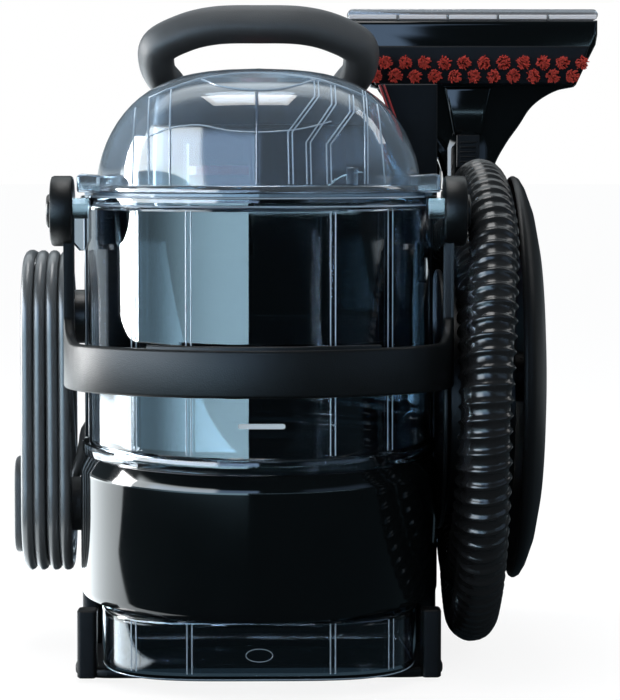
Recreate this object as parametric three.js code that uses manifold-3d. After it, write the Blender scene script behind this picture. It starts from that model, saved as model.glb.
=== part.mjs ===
// Portable carpet spot cleaner: base, motor tower, two lift-off tanks, hose caddy, wand with tool, cord rack.
// Millimetres, +X to the user's right, -Y to the front, +Z up. Built on the dirty tank's centre line with the
// floor at z = 0, then moved so that the origin is at the bottom centre of the machine.
import * as THREE from 'three';
import { mergeVertices } from 'three/addons/utils/BufferGeometryUtils.js';
import Module from 'manifold-3d';

const wasm = await Module();
wasm.setup();

// ---- Driving dimensions -------------------------------------------------------------------------------
const fitGap = 0.3; // gap between pieces that touch or slide on each other
const wall = 2.4; // moulded wall of tanks and shells

// Base
const footHeight = 1.7;
const footRadius = 9;
const trayThickness = 5.5;
const baseSideGap = 3; // dirty tank's foot to the base's side walls
const postSetback = 54; // dirty tank's front to the front of the base's posts
const baseRearMargin = 2; // clean tank's rear to the base's rear edge
const baseCorner = 20;
const sideWallThickness = 10.5;
const plinthTop = 39;
const postDepth = 15; // of the two posts at the base's front corners
const sideWallSetback = 83; // from the base's front to its side walls

// Tower
const towerHalfWidth = 64;
const towerCorner = 16;
const towerTop = 300;
const capHeight = 18;
const faceMargin = 3.7; // the front panel's side edges beyond the dirty tank's sides
const faceThickness = 2.1;
const capBevel = 7;

// Exhaust grille in the tower's rear
const grilleHalfWidth = 34;
const grilleBottom = 256;
const grilleHeight = 34;
const grilleRim = 3;
const slatPitch = 6;
const slatThickness = 2.4;

// Dirty tank, its band and its lid
const tankHalfWidth = 95.3;
const tankRearGap = 3.5; // dirty tank's rear to the tower's front
const tankStraight = 22; // straight part of the tank's sides, behind its curved front
const tankBow = 131; // depth of the curved front
const tankCorner = 14;
const tankFootInset = 8.8;
const footSteps = 40; // straight steps round the front of the tank's foot
const footBevel = 2;
const rimTop = 261;
const rimHeight = 6;
const rimWidth = 4;
const bandBottom = 40.5;
const bandTop = 118;
const bandThickness = 4.2;
const ledgeHeight = 7;
const ledgeWidth = 3.4;
const gasketHeight = 1.5;
const lidFlangeHeight = 4;
const lidTop = 330;
const lidInset = 6;
const spigotZ = 283;
const airSpigotX = -22;
const wetSpigotX = 30;

// Bail handle of the dirty tank
const pivotAhead = 56; // pivot ahead of the straight part of the tank's sides
const pivotZ = 253;
const bailArmGap = 4.7; // dirty tank's side to the inner face of the bail's arm
const bailArmThickness = 5.5;
const bailArmWidth = 16;
const bailBossRadius = 19;
const bailBossThickness = 12;
const hoopBottom = 158;
const hoopHeight = 25;
const hoopReach = 11; // tank's front to the hoop's outer face
const pinRadius = 4;
const pinHeadRadius = 9;
const pinHeadThickness = 2;
const earWidth = 24;
const earHeight = 25;

// Float in the lid
const cageRadius = 20.5;
const cageBottom = 226;
const cageTop = 292;
const cageAhead = 12; // cage's axis ahead of the straight part of the tank's sides
const floatRadius = 16;
const floatHeight = 22;
const filterThickness = 5;

// Carry handle
const handleThickness = 19;
const handleDepth = 21;
const handleFootX = 50;
const handleFootY = 66;
const handleRise = 40.2; // middle of the crown above the feet
const handleLean = 42.5; // middle of the crown ahead of the feet

// Power button and switch
const buttonRadius = 11;
const buttonY = 34;
const buttonProud = 3;
const buttonTravel = 2.5;
const buttonHeight = 9;
const switchSize = [22, 16, 14];

// Suction unit, on a vertical shaft
const motorY = 37.5;
const motorBottom = 96;
const motorTop = 186;
const motorRadius = 38;
const armatureRadius = 24;
const shaftRadius = 4;
const bearingRadius = 9;
const bearingHeight = 7;
const fanBottom = 192;
const fanTop = 226;
const fanRadius = 45;
const fanSideGap = 0.6; // fan housing to the tower's front and rear walls
const impellerRadius = 36;
const impellerBlades = 8;
const airDuctRadius = 14;
const wetDuctRadius = 11;
const ductGap = 1; // between a duct's end and the wall it meets

// Clean tank
const cleanInset = 7; // clean tank's side inside the base's side
const cleanFrontGap = 2.5; // tower's rear to the clean tank's front
const cleanDepth = 80;
const cleanCorner = 30;
const cleanTop = 246;
const fillerInset = 47; // filler's axis inside the clean tank's side
const fillerRadius = 18;
const valveX = 0;
const valveInset = 21; // valve axis behind the tank's front face
const valveStemRadius = 3;
const valveTravel = 4;
const gripHeight = 22;

// Hose caddy: a drum in the YZ plane on the right side
const caddyBehind = 1.5; // drum's axis behind the tower's front
const caddyZ = 144.5;
const drumRadius = 66;
const drumBackRadius = 74;
const drumGap = 5.5; // dirty tank's side to the back of the drum
const drumBackThickness = 3;
const drumDepth = 40.2;
const plateHeight = 229;
const plateDepth = 200;
const plateZ = 157;
const plateRise = 20; // crown of the plate beyond the drum

// Hose
const hoseDiameter = 28;
const portAngle = -50; // where the hose leaves the machine, in degrees round the caddy

// Wand and tool
const wandOffset = 28.2; // wand's axis beyond the drum's back
const wandAhead = 19; // wand's axis ahead of the clean tank's rear
const gripRadius = 16.5;
const gripBottom = 166;
const gripTop = 262;
const wandTipRadius = 11.5;
const wandTipHeight = 20;
const cuffLength = 20;
const toolWidth = 154;
const toolOffset = 3.5; // tool's middle beyond the wand's axis
const toolTop = 374;
const toolShoulderZ = 326;
const toolDepth = 22;
const toolLipHeight = 9;
const toolLipDepth = 5;
const latchTravel = 1.2;
const bristlePitch = 12.1;
const bristleDrop = 31; // upper row of tufts below the top of the tool
const bristleRowGap = 8;
const bristleLength = 7;

// Cradle of the wand
const cradleHeight = 24;
// The cradle's outer edge: [beyond the tower's side, below the tool's shoulder].
const cradleEdge = [[9, 0], [14, 14], [19, 28], [23.5, 45], [26, 64]];

// Cord rack on the left side
const rackY = 15;
const rackTopZ = 190.5;
const rackBottomZ = 82;
const pegRadius = 15.5;
const cordDiameter = 6.8;
const cordPitch = 7; // spacing of the cord's turns on the rack
const hankLayers = 3;
const hankColumns = 4;
const hankInnerRadius = 17.5;
const rackReach = 11.7; // dirty tank's side to the nearest turn of the cord
const paddleThickness = 5.2;
const paddleHalfHeight = 27.5;
const glandZ = 130;
const reliefLength = 21.5;

// ---- Heights and places that follow from them -----------------------------------------------------------
const towerFrontY = motorY - fanRadius - fanSideGap - wall;
const towerRearY = motorY + fanRadius + fanSideGap + wall;
const tankRearY = towerFrontY - tankRearGap;
const tankSideY = tankRearY - tankStraight; // where the curved front meets the straight sides
const tankFrontY = tankSideY - tankBow;
const pivotY = tankSideY - pivotAhead;
const hoopFrontY = tankFrontY - hoopReach;
const cageY = tankSideY - cageAhead;
const cleanFrontY = towerRearY + cleanFrontGap;
const cleanRearY = cleanFrontY + cleanDepth;
const baseFrontY = tankFrontY + postSetback;
const baseRearY = cleanRearY + baseRearMargin;
const caddyY = towerFrontY + caddyBehind;
const wandY = cleanRearY - wandAhead;
const baseHalfWidth = tankHalfWidth - tankFootInset + baseSideGap + sideWallThickness;
const bailArmX = tankHalfWidth + bailArmGap; // inner face of the arm
const cleanHalfWidth = baseHalfWidth - cleanInset;
const fillerX = fillerInset - cleanHalfWidth;
const drumBackX = tankHalfWidth + drumGap;
const drumEndX = drumBackX + drumDepth;
const plateCrownX = drumEndX + plateRise;
const wandX = drumBackX + wandOffset;
const toolCentreX = wandX + toolOffset;
const innerTurnRadius = drumRadius + hoseDiameter; // hose's inner turns round the caddy
const trayBottom = footHeight + fitGap;
const trayTop = trayBottom + trayThickness;
const tankBottom = trayTop + fitGap;
const tankFootTop = plinthTop + fitGap;
const gasketBottom = rimTop + fitGap;
const lidBottom = gasketBottom + gasketHeight + fitGap;
const lidFlangeTop = lidBottom + lidFlangeHeight;
const towerBottom = plinthTop + fitGap;
const capBottom = towerTop + fitGap;
const capTop = capBottom + capHeight;
const towerSplitY = motorY;
const cleanBottom = trayTop + fitGap;
const wandTop = gripTop + wandTipHeight;
const hankOuterRadius = hankInnerRadius + hankLayers * cordPitch;
const hankNearX = -tankHalfWidth - rackReach;
const hankFarX = hankNearX - hankColumns * cordPitch;
const ductPorts = [
  { x: airSpigotX, radius: airDuctRadius },
  { x: wetSpigotX, radius: wetDuctRadius },
];

const rad = THREE.MathUtils.degToRad;

// ---- Materials ------------------------------------------------------------------------------------------
function finish(color, roughness, metalness = 0, opacity = 1) {
  return new THREE.MeshStandardMaterial({ color, roughness, metalness, opacity, transparent: opacity < 1 });
}
const glossBlack = finish(0x0b0d0e, 0.12);
const satinBlack = finish(0x15181a, 0.45);
const mattGrey = finish(0x33393c, 0.7);
const clearBlue = finish(0x8fb2d4, 0.05, 0, 0.35);
const red = finish(0xb02a26, 0.5);
const rubber = finish(0x101112, 0.85);
const steel = finish(0xb4b8bc, 0.3, 1);
const copper = finish(0xa8683c, 0.4, 1);
const white = finish(0xe6e6e2, 0.5);
const cordGrey = finish(0x4a5256, 0.6);

// ---- Solids ---------------------------------------------------------------------------------------------
function toSolid(geometry) {
  const bare = geometry.clone();
  bare.deleteAttribute('normal');
  bare.deleteAttribute('uv');
  const merged = mergeVertices(bare, 1e-4);
  const points = merged.attributes.position.array;
  const faces = [];
  let volume = 0;
  const corner = (i) => new THREE.Vector3(points[3 * i], points[3 * i + 1], points[3 * i + 2]);
  for (let i = 0; i < merged.index.count; i += 3) {
    const [a, b, c] = [merged.index.getX(i), merged.index.getX(i + 1), merged.index.getX(i + 2)];
    if (a === b || b === c || c === a) continue;
    faces.push([a, b, c]);
    volume += corner(a).dot(corner(b).cross(corner(c)));
  }
  const outward = faces.map(([a, b, c]) => (volume > 0 ? [a, b, c] : [a, c, b]));
  return new wasm.Manifold(new wasm.Mesh({
    numProp: 3, vertProperties: new Float32Array(points), triVerts: new Uint32Array(outward.flat()),
  }));
}

function toGeometry(solid) {
  const { vertProperties, triVerts } = solid.getMesh();
  const geometry = new THREE.BufferGeometry();
  geometry.setAttribute('position', new THREE.BufferAttribute(vertProperties, 3));
  geometry.setIndex(new THREE.BufferAttribute(triVerts, 1));
  geometry.computeVertexNormals();
  return geometry;
}

const union = (first, ...rest) => rest.reduce((sum, solid) => sum.add(solid), first);
const cut = (first, ...rest) => rest.reduce((sum, solid) => sum.subtract(solid), first);

function box(x, y, z) { // each a [low, high] pair
  const geometry = new THREE.BoxGeometry(x[1] - x[0], y[1] - y[0], z[1] - z[0]);
  geometry.translate((x[0] + x[1]) / 2, (y[0] + y[1]) / 2, (z[0] + z[1]) / 2);
  return toSolid(geometry);
}

// A cylinder or cone between two heights along 'x', 'y' or 'z', about the point [u, v] of the other two axes.
function rod(axis, [u, v], low, high, radius, sides = 16, endRadius = radius) {
  const geometry = new THREE.CylinderGeometry(endRadius, radius, high - low, sides);
  const middle = (low + high) / 2;
  if (axis === 'x') geometry.rotateZ(-Math.PI / 2).translate(middle, u, v);
  else if (axis === 'y') geometry.translate(u, middle, v);
  else geometry.rotateX(Math.PI / 2).translate(u, v, middle);
  return toSolid(geometry);
}

// A profile of [radius, height] points turned about the vertical line through x, y.
function turned(profile, x = 0, y = 0, sides = 20) {
  const points = profile.map(([r, h]) => new THREE.Vector2(r, h));
  const geometry = new THREE.LatheGeometry(points, sides);
  geometry.rotateX(Math.PI / 2).translate(x, y, 0);
  return toSolid(geometry);
}

function prism(shape, low, high, bevel = 0, curveSegments = 2) {
  const geometry = new THREE.ExtrudeGeometry(shape, {
    depth: high - low - 2 * bevel, bevelEnabled: bevel > 0, bevelThickness: bevel, bevelSize: bevel,
    bevelOffset: -bevel, bevelSegments: bevel > 4 ? 2 : 1, curveSegments,
  });
  geometry.translate(0, 0, low + bevel);
  return toSolid(geometry);
}

// A shape drawn in the XZ plane and extruded from front to back, or drawn in YZ and extruded along X.
function slabXZ(shape, front, back, curveSegments = 4) {
  const geometry = new THREE.ExtrudeGeometry(shape, { depth: back - front, bevelEnabled: false, curveSegments });
  geometry.rotateX(Math.PI / 2).translate(0, back, 0);
  return toSolid(geometry);
}
function slabYZ(shape, low, high, curveSegments = 4) {
  const geometry = new THREE.ExtrudeGeometry(shape, { depth: high - low, bevelEnabled: false, curveSegments });
  geometry.rotateY(Math.PI / 2).rotateX(Math.PI / 2).translate(low, 0, 0);
  return toSolid(geometry);
}

function outline(points) {
  return new THREE.Shape(points.map(([x, y]) => new THREE.Vector2(x, y)));
}

function roundedRect(x0, x1, y0, y1, radius) {
  const r = Math.max(radius, 0.5);
  const shape = new THREE.Shape();
  shape.moveTo(x0 + r, y0);
  shape.lineTo(x1 - r, y0);
  shape.absarc(x1 - r, y0 + r, r, -Math.PI / 2, 0);
  shape.lineTo(x1, y1 - r);
  shape.absarc(x1 - r, y1 - r, r, 0, Math.PI / 2);
  shape.lineTo(x0 + r, y1);
  shape.absarc(x0 + r, y1 - r, r, Math.PI / 2, Math.PI);
  shape.lineTo(x0, y0 + r);
  shape.absarc(x0 + r, y0 + r, r, Math.PI, Math.PI * 1.5);
  return shape;
}

// The dirty tank's plan: half an ellipse in front, straight sides and rounded rear corners.
function tankPlan(grow, rearY = tankRearY + Math.min(grow, 0)) {
  const a = tankHalfWidth + grow;
  const b = tankSideY - tankFrontY + grow;
  const r = Math.max(Math.min(tankCorner + grow, rearY - tankSideY - 1), 0.5);
  const shape = new THREE.Shape();
  for (let quarter = 4; quarter < 8; quarter++) {
    shape.absellipse(0, tankSideY, a, b, (quarter * Math.PI) / 4, ((quarter + 1) * Math.PI) / 4);
  }
  shape.lineTo(a, rearY - r);
  shape.absarc(a - r, rearY - r, r, 0, Math.PI / 2);
  shape.lineTo(-a + r, rearY);
  shape.absarc(-a + r, rearY - r, r, Math.PI / 2, Math.PI);
  return shape;
}

// The dirty tank's foot in plan: a boxy superellipse in front, straight sides and a straight back.
function footPlan(inset) {
  const [a, b] = [tankHalfWidth - inset, tankSideY - tankFrontY - inset];
  const squared = (value) => Math.sign(value) * Math.sqrt(Math.abs(value));
  const shape = new THREE.Shape();
  shape.moveTo(-a, tankSideY);
  for (let step = 1; step < footSteps; step++) {
    const angle = Math.PI * (1 + step / footSteps);
    shape.lineTo(a * squared(Math.cos(angle)), tankSideY + b * squared(Math.sin(angle)));
  }
  shape.lineTo(a, tankSideY);
  shape.lineTo(a, tankRearY - inset);
  shape.lineTo(-a, tankRearY - inset);
  return shape;
}

// A round or oval bar swept along a curve; the section is height by width, and it may be bored through.
function swept(curve, height, width, steps, sides = 12) {
  const section = new THREE.Shape();
  section.absellipse(0, 0, height / 2, width / 2, 0, Math.PI * 2);
  return toSolid(new THREE.ExtrudeGeometry(section, { steps, extrudePath: curve, curveSegments: sides }));
}
const curveThrough = (points, tension = 0.5) =>
  new THREE.CatmullRomCurve3(points.map((p) => new THREE.Vector3(...p)), false, 'centripetal', tension);

const machine = new THREE.Group();
function piece(name, solid, material, parent = machine) {
  const mesh = new THREE.Mesh(toGeometry(solid), material);
  mesh.name = name;
  parent.add(mesh);
  return mesh;
}

// ---- Base -------------------------------------------------------------------------------------------------
function buildBase() {
  const innerX = baseHalfWidth - sideWallThickness;
  const tray = prism(
    roundedRect(-baseHalfWidth, baseHalfWidth, baseFrontY, baseRearY, baseCorner), trayBottom, trayTop);
  const sides = [-1, 1].map((side) => {
    const x = side < 0 ? [-baseHalfWidth, -innerX] : [innerX, baseHalfWidth];
    return box(x, [baseFrontY + sideWallSetback, towerRearY], [trayBottom, plinthTop]);
  });
  const posts = [-1, 1].map((side) => {
    const [x0, x1] = side < 0 ? [-baseHalfWidth + 2, -innerX + 2] : [innerX - 2, baseHalfWidth - 2];
    return prism(roundedRect(x0, x1, baseFrontY, baseFrontY + postDepth, 4), trayBottom, plinthTop, 0, 4);
  });
  const plinth = box([-innerX - 1, innerX + 1], [towerFrontY, towerRearY], [trayBottom, plinthTop]);
  const well = prism(
    roundedRect(-towerHalfWidth + 6, towerHalfWidth - 6, towerFrontY + 6, towerRearY - 6, towerCorner - 6),
    trayTop, plinthTop + 1);
  const valvePost = rod('z', [valveX, cleanFrontY + valveInset], trayTop - 1, cleanBottom + 0.4,
    valveStemRadius - 0.6, 12);
  piece('base_chassis', union(cut(union(tray, ...sides, ...posts, plinth), well), valvePost), satinBlack);

  const footPlaces = { front: baseFrontY + 22, rear: baseRearY - 24 };
  for (const [row, y] of Object.entries(footPlaces)) {
    for (const [side, x] of [['left', -baseHalfWidth + 22], ['right', baseHalfWidth - 22]]) {
      const foot = piece(`foot_${row}_${side}`, rod('z', [0, 0], 0, footHeight, footRadius), rubber);
      foot.position.set(x, y, 0);
    }
  }
}

// ---- Tower ------------------------------------------------------------------------------------------------
function buildTower() {
  const plan = (inset) => roundedRect(-towerHalfWidth + inset, towerHalfWidth - inset,
    towerFrontY + inset, towerRearY - inset, towerCorner - inset);
  const tube = cut(prism(plan(0), towerBottom, towerTop), prism(plan(wall), towerBottom - 1, towerTop + 1));
  const everyX = [-towerHalfWidth - 5, towerHalfWidth + 5];
  const frontHalf = box(everyX, [towerFrontY - 5, towerSplitY - fitGap / 2], [0, towerTop + 5]);
  const rearHalf = box(everyX, [towerSplitY + fitGap / 2, towerRearY + 5], [0, towerTop + 5]);
  const ports = ductPorts.map(({ x, radius }) =>
    rod('y', [x, spigotZ], towerFrontY - 2, towerFrontY + wall + 2, radius - 1));
  const faceHalfWidth = tankHalfWidth + faceMargin;
  const facePlate = box([-faceHalfWidth, faceHalfWidth],
    [towerFrontY - faceThickness, towerFrontY + wall / 2], [plinthTop + 2, rimTop - rimHeight]);
  piece('tower_front_shell', cut(union(tube.intersect(frontHalf), facePlate), ...ports), satinBlack);

  const [portY, portZ] = onCaddy(portAngle, innerTurnRadius);
  const portHole = rod('x', [portY, portZ], towerHalfWidth - wall - 2, towerHalfWidth + 2,
    wetDuctRadius - 1);
  const glandHole = rod('x', [rackY + 35, glandZ], -towerHalfWidth - 2, -towerHalfWidth + wall + 2,
    cordDiameter / 2 + 1.8);
  const grilleTop = grilleBottom + grilleHeight;
  const grilleHole = box([-grilleHalfWidth, grilleHalfWidth], [towerRearY - wall - 2, towerRearY + 2],
    [grilleBottom, grilleTop]);
  piece('tower_rear_shell', cut(tube.intersect(rearHalf), portHole, glandHole, grilleHole), satinBlack);

  const slats = [];
  for (let z = grilleBottom + slatPitch - 2; z < grilleTop - slatThickness; z += slatPitch) {
    slats.push(
      box([2 - grilleHalfWidth, grilleHalfWidth - 2], [towerRearY - wall, towerRearY], [z, z + slatThickness]));
  }
  const grilleFrame = cut(
    box([fitGap - grilleHalfWidth, grilleHalfWidth - fitGap], [towerRearY - wall, towerRearY],
      [grilleBottom + fitGap, grilleTop - fitGap]),
    box([grilleRim - grilleHalfWidth, grilleHalfWidth - grilleRim], [towerRearY - wall - 1, towerRearY + 1],
      [grilleBottom + grilleRim, grilleTop - grilleRim]));
  piece('exhaust_grille', union(grilleFrame, ...slats), satinBlack);

  const capOuter = prism(plan(0), capBottom, capTop, capBevel)
    .add(prism(plan(0), capBottom, capBottom + capBevel + 1));
  const capInner = prism(plan(wall), capBottom - 1, capTop - wall - 1);
  const buttonHole = rod('z', [0, buttonY], capBottom, capTop + 2, buttonRadius + fitGap);
  piece('tower_cap', cut(capOuter, capInner, buttonHole), satinBlack);

  const buttonTop = capTop + buttonProud;
  piece('power_button', rod('z', [0, buttonY], buttonTop - buttonHeight, buttonTop, buttonRadius), red);
  const [sx, sy, sz] = switchSize;
  const switchTop = buttonTop - buttonHeight - buttonTravel - fitGap;
  const body = box([-sx / 2, sx / 2], [buttonY - sy / 2, buttonY + sy / 2], [switchTop - sz, switchTop]);
  const bracket = box([-towerHalfWidth + wall + 2, towerHalfWidth - wall - 2],
    [buttonY - 4, buttonY - 1], [switchTop - sz, switchTop - sz + 5]);
  piece('power_switch', union(body, bracket), white);
}

// The arch: feet on the cap, legs leaning forward, a crowned bar across.
function buildCarryHandle() {
  const footZ = capTop + fitGap;
  const arcShape = [
    [1, 0, 0], [1.06, 0.09, 0.15], [1.18, 0.52, 0.38], [1.16, 0.82, 0.68], [0.86, 0.94, 0.88], [0.52, 0.99, 0.98],
  ]; // [share of the feet's spacing, of the lean, of the rise]
  const at = ([side, lean, rise]) =>
    [side * handleFootX, handleFootY - lean * handleLean, footZ + rise * handleRise];
  const mirrored = arcShape.map(([side, lean, rise]) => [-side, lean, rise]).reverse();
  const path = curveThrough([...arcShape, [0, 1, 1], ...mirrored].map(at));
  const arch = swept(path, handleThickness, handleDepth, 24, 4);
  const ground = box([-200, 200], [-50, 120], [footZ - 30, footZ]);
  piece('carry_handle', cut(arch, ground), mattGrey);
}

// ---- Suction unit -----------------------------------------------------------------------------------------
function buildSuctionUnit() {
  const bore = shaftRadius + fitGap;
  const r = motorRadius;
  const seat = bearingRadius + fitGap;
  piece('motor_housing', turned([
    [seat, motorBottom], [r, motorBottom], [r, motorTop], [seat, motorTop], [seat, motorTop - bearingHeight - 2],
    [r - wall, motorTop - bearingHeight - 2], [r - wall, motorBottom + bearingHeight + 2],
    [seat, motorBottom + bearingHeight + 2], [seat, motorBottom],
  ], 0, motorY), satinBlack);
  const bearingPlaces = [['motor_bearing_lower', motorBottom], ['motor_bearing_upper', motorTop - bearingHeight]];
  for (const [name, low] of bearingPlaces) {
    const high = low + bearingHeight;
    piece(name, turned([[bore, low], [bearingRadius, low], [bearingRadius, high], [bore, high], [bore, low]],
      0, motorY, 12), steel);
  }
  piece('motor_rotor', turned([
    [0, motorBottom - 8], [shaftRadius, motorBottom - 8], [shaftRadius, motorBottom + 20],
    [armatureRadius, motorBottom + 20], [armatureRadius, motorTop - 20], [shaftRadius, motorTop - 20],
    [shaftRadius, fanTop - 8], [0, fanTop - 8],
  ], 0, motorY), copper);

  const hub = turned([[bore, fanBottom + 6], [impellerRadius, fanBottom + 6], [impellerRadius, fanBottom + 8],
    [12, fanBottom + 10], [10, fanTop - 12], [bore, fanTop - 12], [bore, fanBottom + 6]], 0, motorY);
  const blades = [];
  for (let i = 0; i < impellerBlades; i++) {
    const blade = new THREE.BoxGeometry(impellerRadius - 12, 1.6, 13);
    blade.translate((impellerRadius - 12) / 2 + 10, 0, fanBottom + 14);
    blade.rotateZ((i * 2 * Math.PI) / impellerBlades).translate(0, motorY, 0);
    blades.push(toSolid(blade));
  }
  piece('suction_impeller', union(hub, ...blades), white);

  const eye = airDuctRadius - wall;
  piece('fan_housing', turned([
    [bore + 3, fanBottom], [fanRadius, fanBottom], [fanRadius, fanTop], [eye, fanTop], [eye, fanTop - wall],
    [fanRadius - wall, fanTop - wall], [fanRadius - wall, fanBottom + wall], [bore + 3, fanBottom + wall],
    [bore + 3, fanBottom],
  ], 0, motorY), mattGrey);

  const faceY = towerFrontY + wall + ductGap;
  piece('air_duct', duct(airDuctRadius, [[0, motorY, fanTop + ductGap], [0, motorY, fanTop + 14],
    [-6, motorY - 8, spigotZ - 16], [airSpigotX + 3, 16, spigotZ - 3], [airSpigotX, 4, spigotZ],
    [airSpigotX, faceY, spigotZ]]), mattGrey);
}

function duct(radius, points) {
  const path = curveThrough(points);
  const bore = 2 * (radius - wall);
  return swept(path, 2 * radius, 2 * radius, 12, 4).subtract(swept(path, bore, bore, 12, 3));
}

// The wet duct climbs the tower's rear right corner, from the hose port to the dirty tank's lid.
function buildWetDuct() {
  const [portY, portZ] = onCaddy(portAngle, innerTurnRadius);
  const faceX = towerHalfWidth - wall - ductGap;
  const cornerX = faceX - wetDuctRadius - 1;
  const cornerY = towerRearY - wall - wetDuctRadius - 2;
  piece('suction_duct', duct(wetDuctRadius, [[faceX, portY, portZ], [faceX - 8, portY, portZ],
    [cornerX - 3, portY + 4, portZ + 7], [cornerX - 1, cornerY - 4, portZ + 22], [cornerX, cornerY, portZ + 44],
    [cornerX, cornerY, portZ + 60], [cornerX, cornerY, 218], [cornerX, cornerY, 232],
    [cornerX - 2, 58, 262], [40, 30, spigotZ - 4], [wetSpigotX, 10, spigotZ],
    [wetSpigotX, towerFrontY + wall + ductGap, spigotZ]]), mattGrey);
}

// ---- Water side in the tower --------------------------------------------------------------------------------
function buildWaterUnit() {
  const pumpBody = box([-30, 4], [16, 58], [trayTop + fitGap, 44]);
  const pumpHead = rod('x', [motorY, 60], -30, 14, 14, 20).add(box([-30, -6], [26, 49], [40, 60]));
  piece('water_pump', union(pumpBody, pumpHead), mattGrey);
  const heater = box([20, 46], [14, 34], [trayTop + fitGap, 62]);
  const pipes = [19, 29].map((y) => rod('z', [33, y], 60, 80, 3.2, 12));
  piece('heater_block', union(heater, ...pipes), steel);
}

// ---- Dirty tank ---------------------------------------------------------------------------------------------
function buildDirtyTank() {
  const tank = new THREE.Group();
  machine.add(tank);
  const footLid = bandBottom - fitGap;
  const foot = prism(footPlan(tankFootInset), tankBottom, footLid, footBevel);
  const footFill = prism(tankPlan(-tankFootInset), tankBottom + 4, tankFootTop + 2);
  const body = prism(tankPlan(0), tankFootTop, rimTop);
  const ledge = prism(tankPlan(ledgeWidth, tankRearY), bandTop + fitGap, bandTop + fitGap + ledgeHeight);
  const rim = prism(tankPlan(rimWidth, tankRearY), rimTop - rimHeight, rimTop);
  const footRoom = prism(footPlan(tankFootInset + wall), tankBottom + wall, footLid - wall)
    .add(prism(tankPlan(-tankFootInset - wall), tankBottom + wall, tankFootTop + 3));
  const bodyRoom = prism(tankPlan(-wall), tankFootTop + wall, rimTop + 1);
  const earBottom = rimTop - earHeight;
  const earX = bailArmX - fitGap;
  const ears = [-1, 1].map((side) => {
    const gusset = outline([[80, rimTop - 1], [80, rimTop - 2], [84, earBottom], [earX, earBottom],
      [earX, rimTop - 1]].map(([x, z]) => [side * x, z]));
    return slabXZ(gusset, pivotY - earWidth / 2, pivotY + earWidth / 2);
  });
  const earInside = prism(tankPlan(-wall), earBottom - 2, rimTop + 1);
  const bores = [-1, 1].map((side) => {
    const [low, high] = side < 0 ? [-earX - 1, -earX + 9] : [earX - 9, earX + 1];
    return rod('x', [pivotY, pivotZ], low, high, pinRadius + fitGap);
  });
  const shell = union(foot, footFill, body, ledge, rim, ...ears.map((ear) => ear.subtract(earInside)));
  piece('dirty_tank', cut(shell, footRoom, bodyRoom, ...bores), clearBlue, tank);

  const bandBack = tankSideY;
  const bandOuter = prism(tankPlan(bandThickness + fitGap, tankRearY), bandBottom, bandTop, 3);
  const bandInner = prism(tankPlan(fitGap), bandBottom - 1, bandTop + 1);
  const behind = box([-150, 150], [bandBack, 60], [0, 200]);
  piece('tank_band', cut(bandOuter, bandInner, behind), glossBlack, tank);

  for (const [name, side] of [['bail_pin_left', -1], ['bail_pin_right', 1]]) {
    const [inner, outer] = [earX - 8, bailArmX + bailBossThickness + fitGap];
    const shaft = rod('x', [pivotY, pivotZ], inner, outer, pinRadius, 16);
    const head = rod('x', [pivotY, pivotZ], outer, outer + pinHeadThickness, pinHeadRadius, 20);
    const pin = piece(name, union(shaft, head), satinBlack, tank);
    if (side < 0) pin.rotation.z = Math.PI;
    if (side < 0) pin.position.set(0, 2 * pivotY, 0);
  }
}

// ---- Lid ------------------------------------------------------------------------------------------------------
// The dome is where three extrusions meet: its plan, its front outline and its side outline.
function domeSolid(grow) {
  const halfWidth = tankHalfWidth - lidInset + grow;
  const front = tankFrontY + lidInset - grow;
  const rear = tankRearY - 2 + grow;
  const top = lidTop + grow;
  const frontView = new THREE.Shape();
  frontView.moveTo(-halfWidth, lidBottom - 5);
  frontView.lineTo(-halfWidth, lidFlangeTop);
  frontView.bezierCurveTo(-halfWidth + 4, 300, -62 - grow, top - 4, 0, top);
  frontView.bezierCurveTo(62 + grow, top - 4, halfWidth - 4, 300, halfWidth, lidFlangeTop);
  frontView.lineTo(halfWidth, lidBottom - 5);
  const sideView = new THREE.Shape();
  sideView.moveTo(front, lidBottom - 5);
  sideView.lineTo(front + 1, lidFlangeTop);
  sideView.bezierCurveTo(front + 6, top - 14, front + 26, top - 3, -82, top);
  sideView.bezierCurveTo(-50, top, rear - 4, top - 2, rear, top - 22);
  sideView.lineTo(rear, lidBottom - 5);
  const plan = prism(tankPlan(grow - lidInset, rear), lidBottom - 5, top + 5);
  return plan.intersect(slabXZ(frontView, -250, 50, 6)).intersect(slabYZ(sideView, -150, 150, 5));
}

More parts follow.
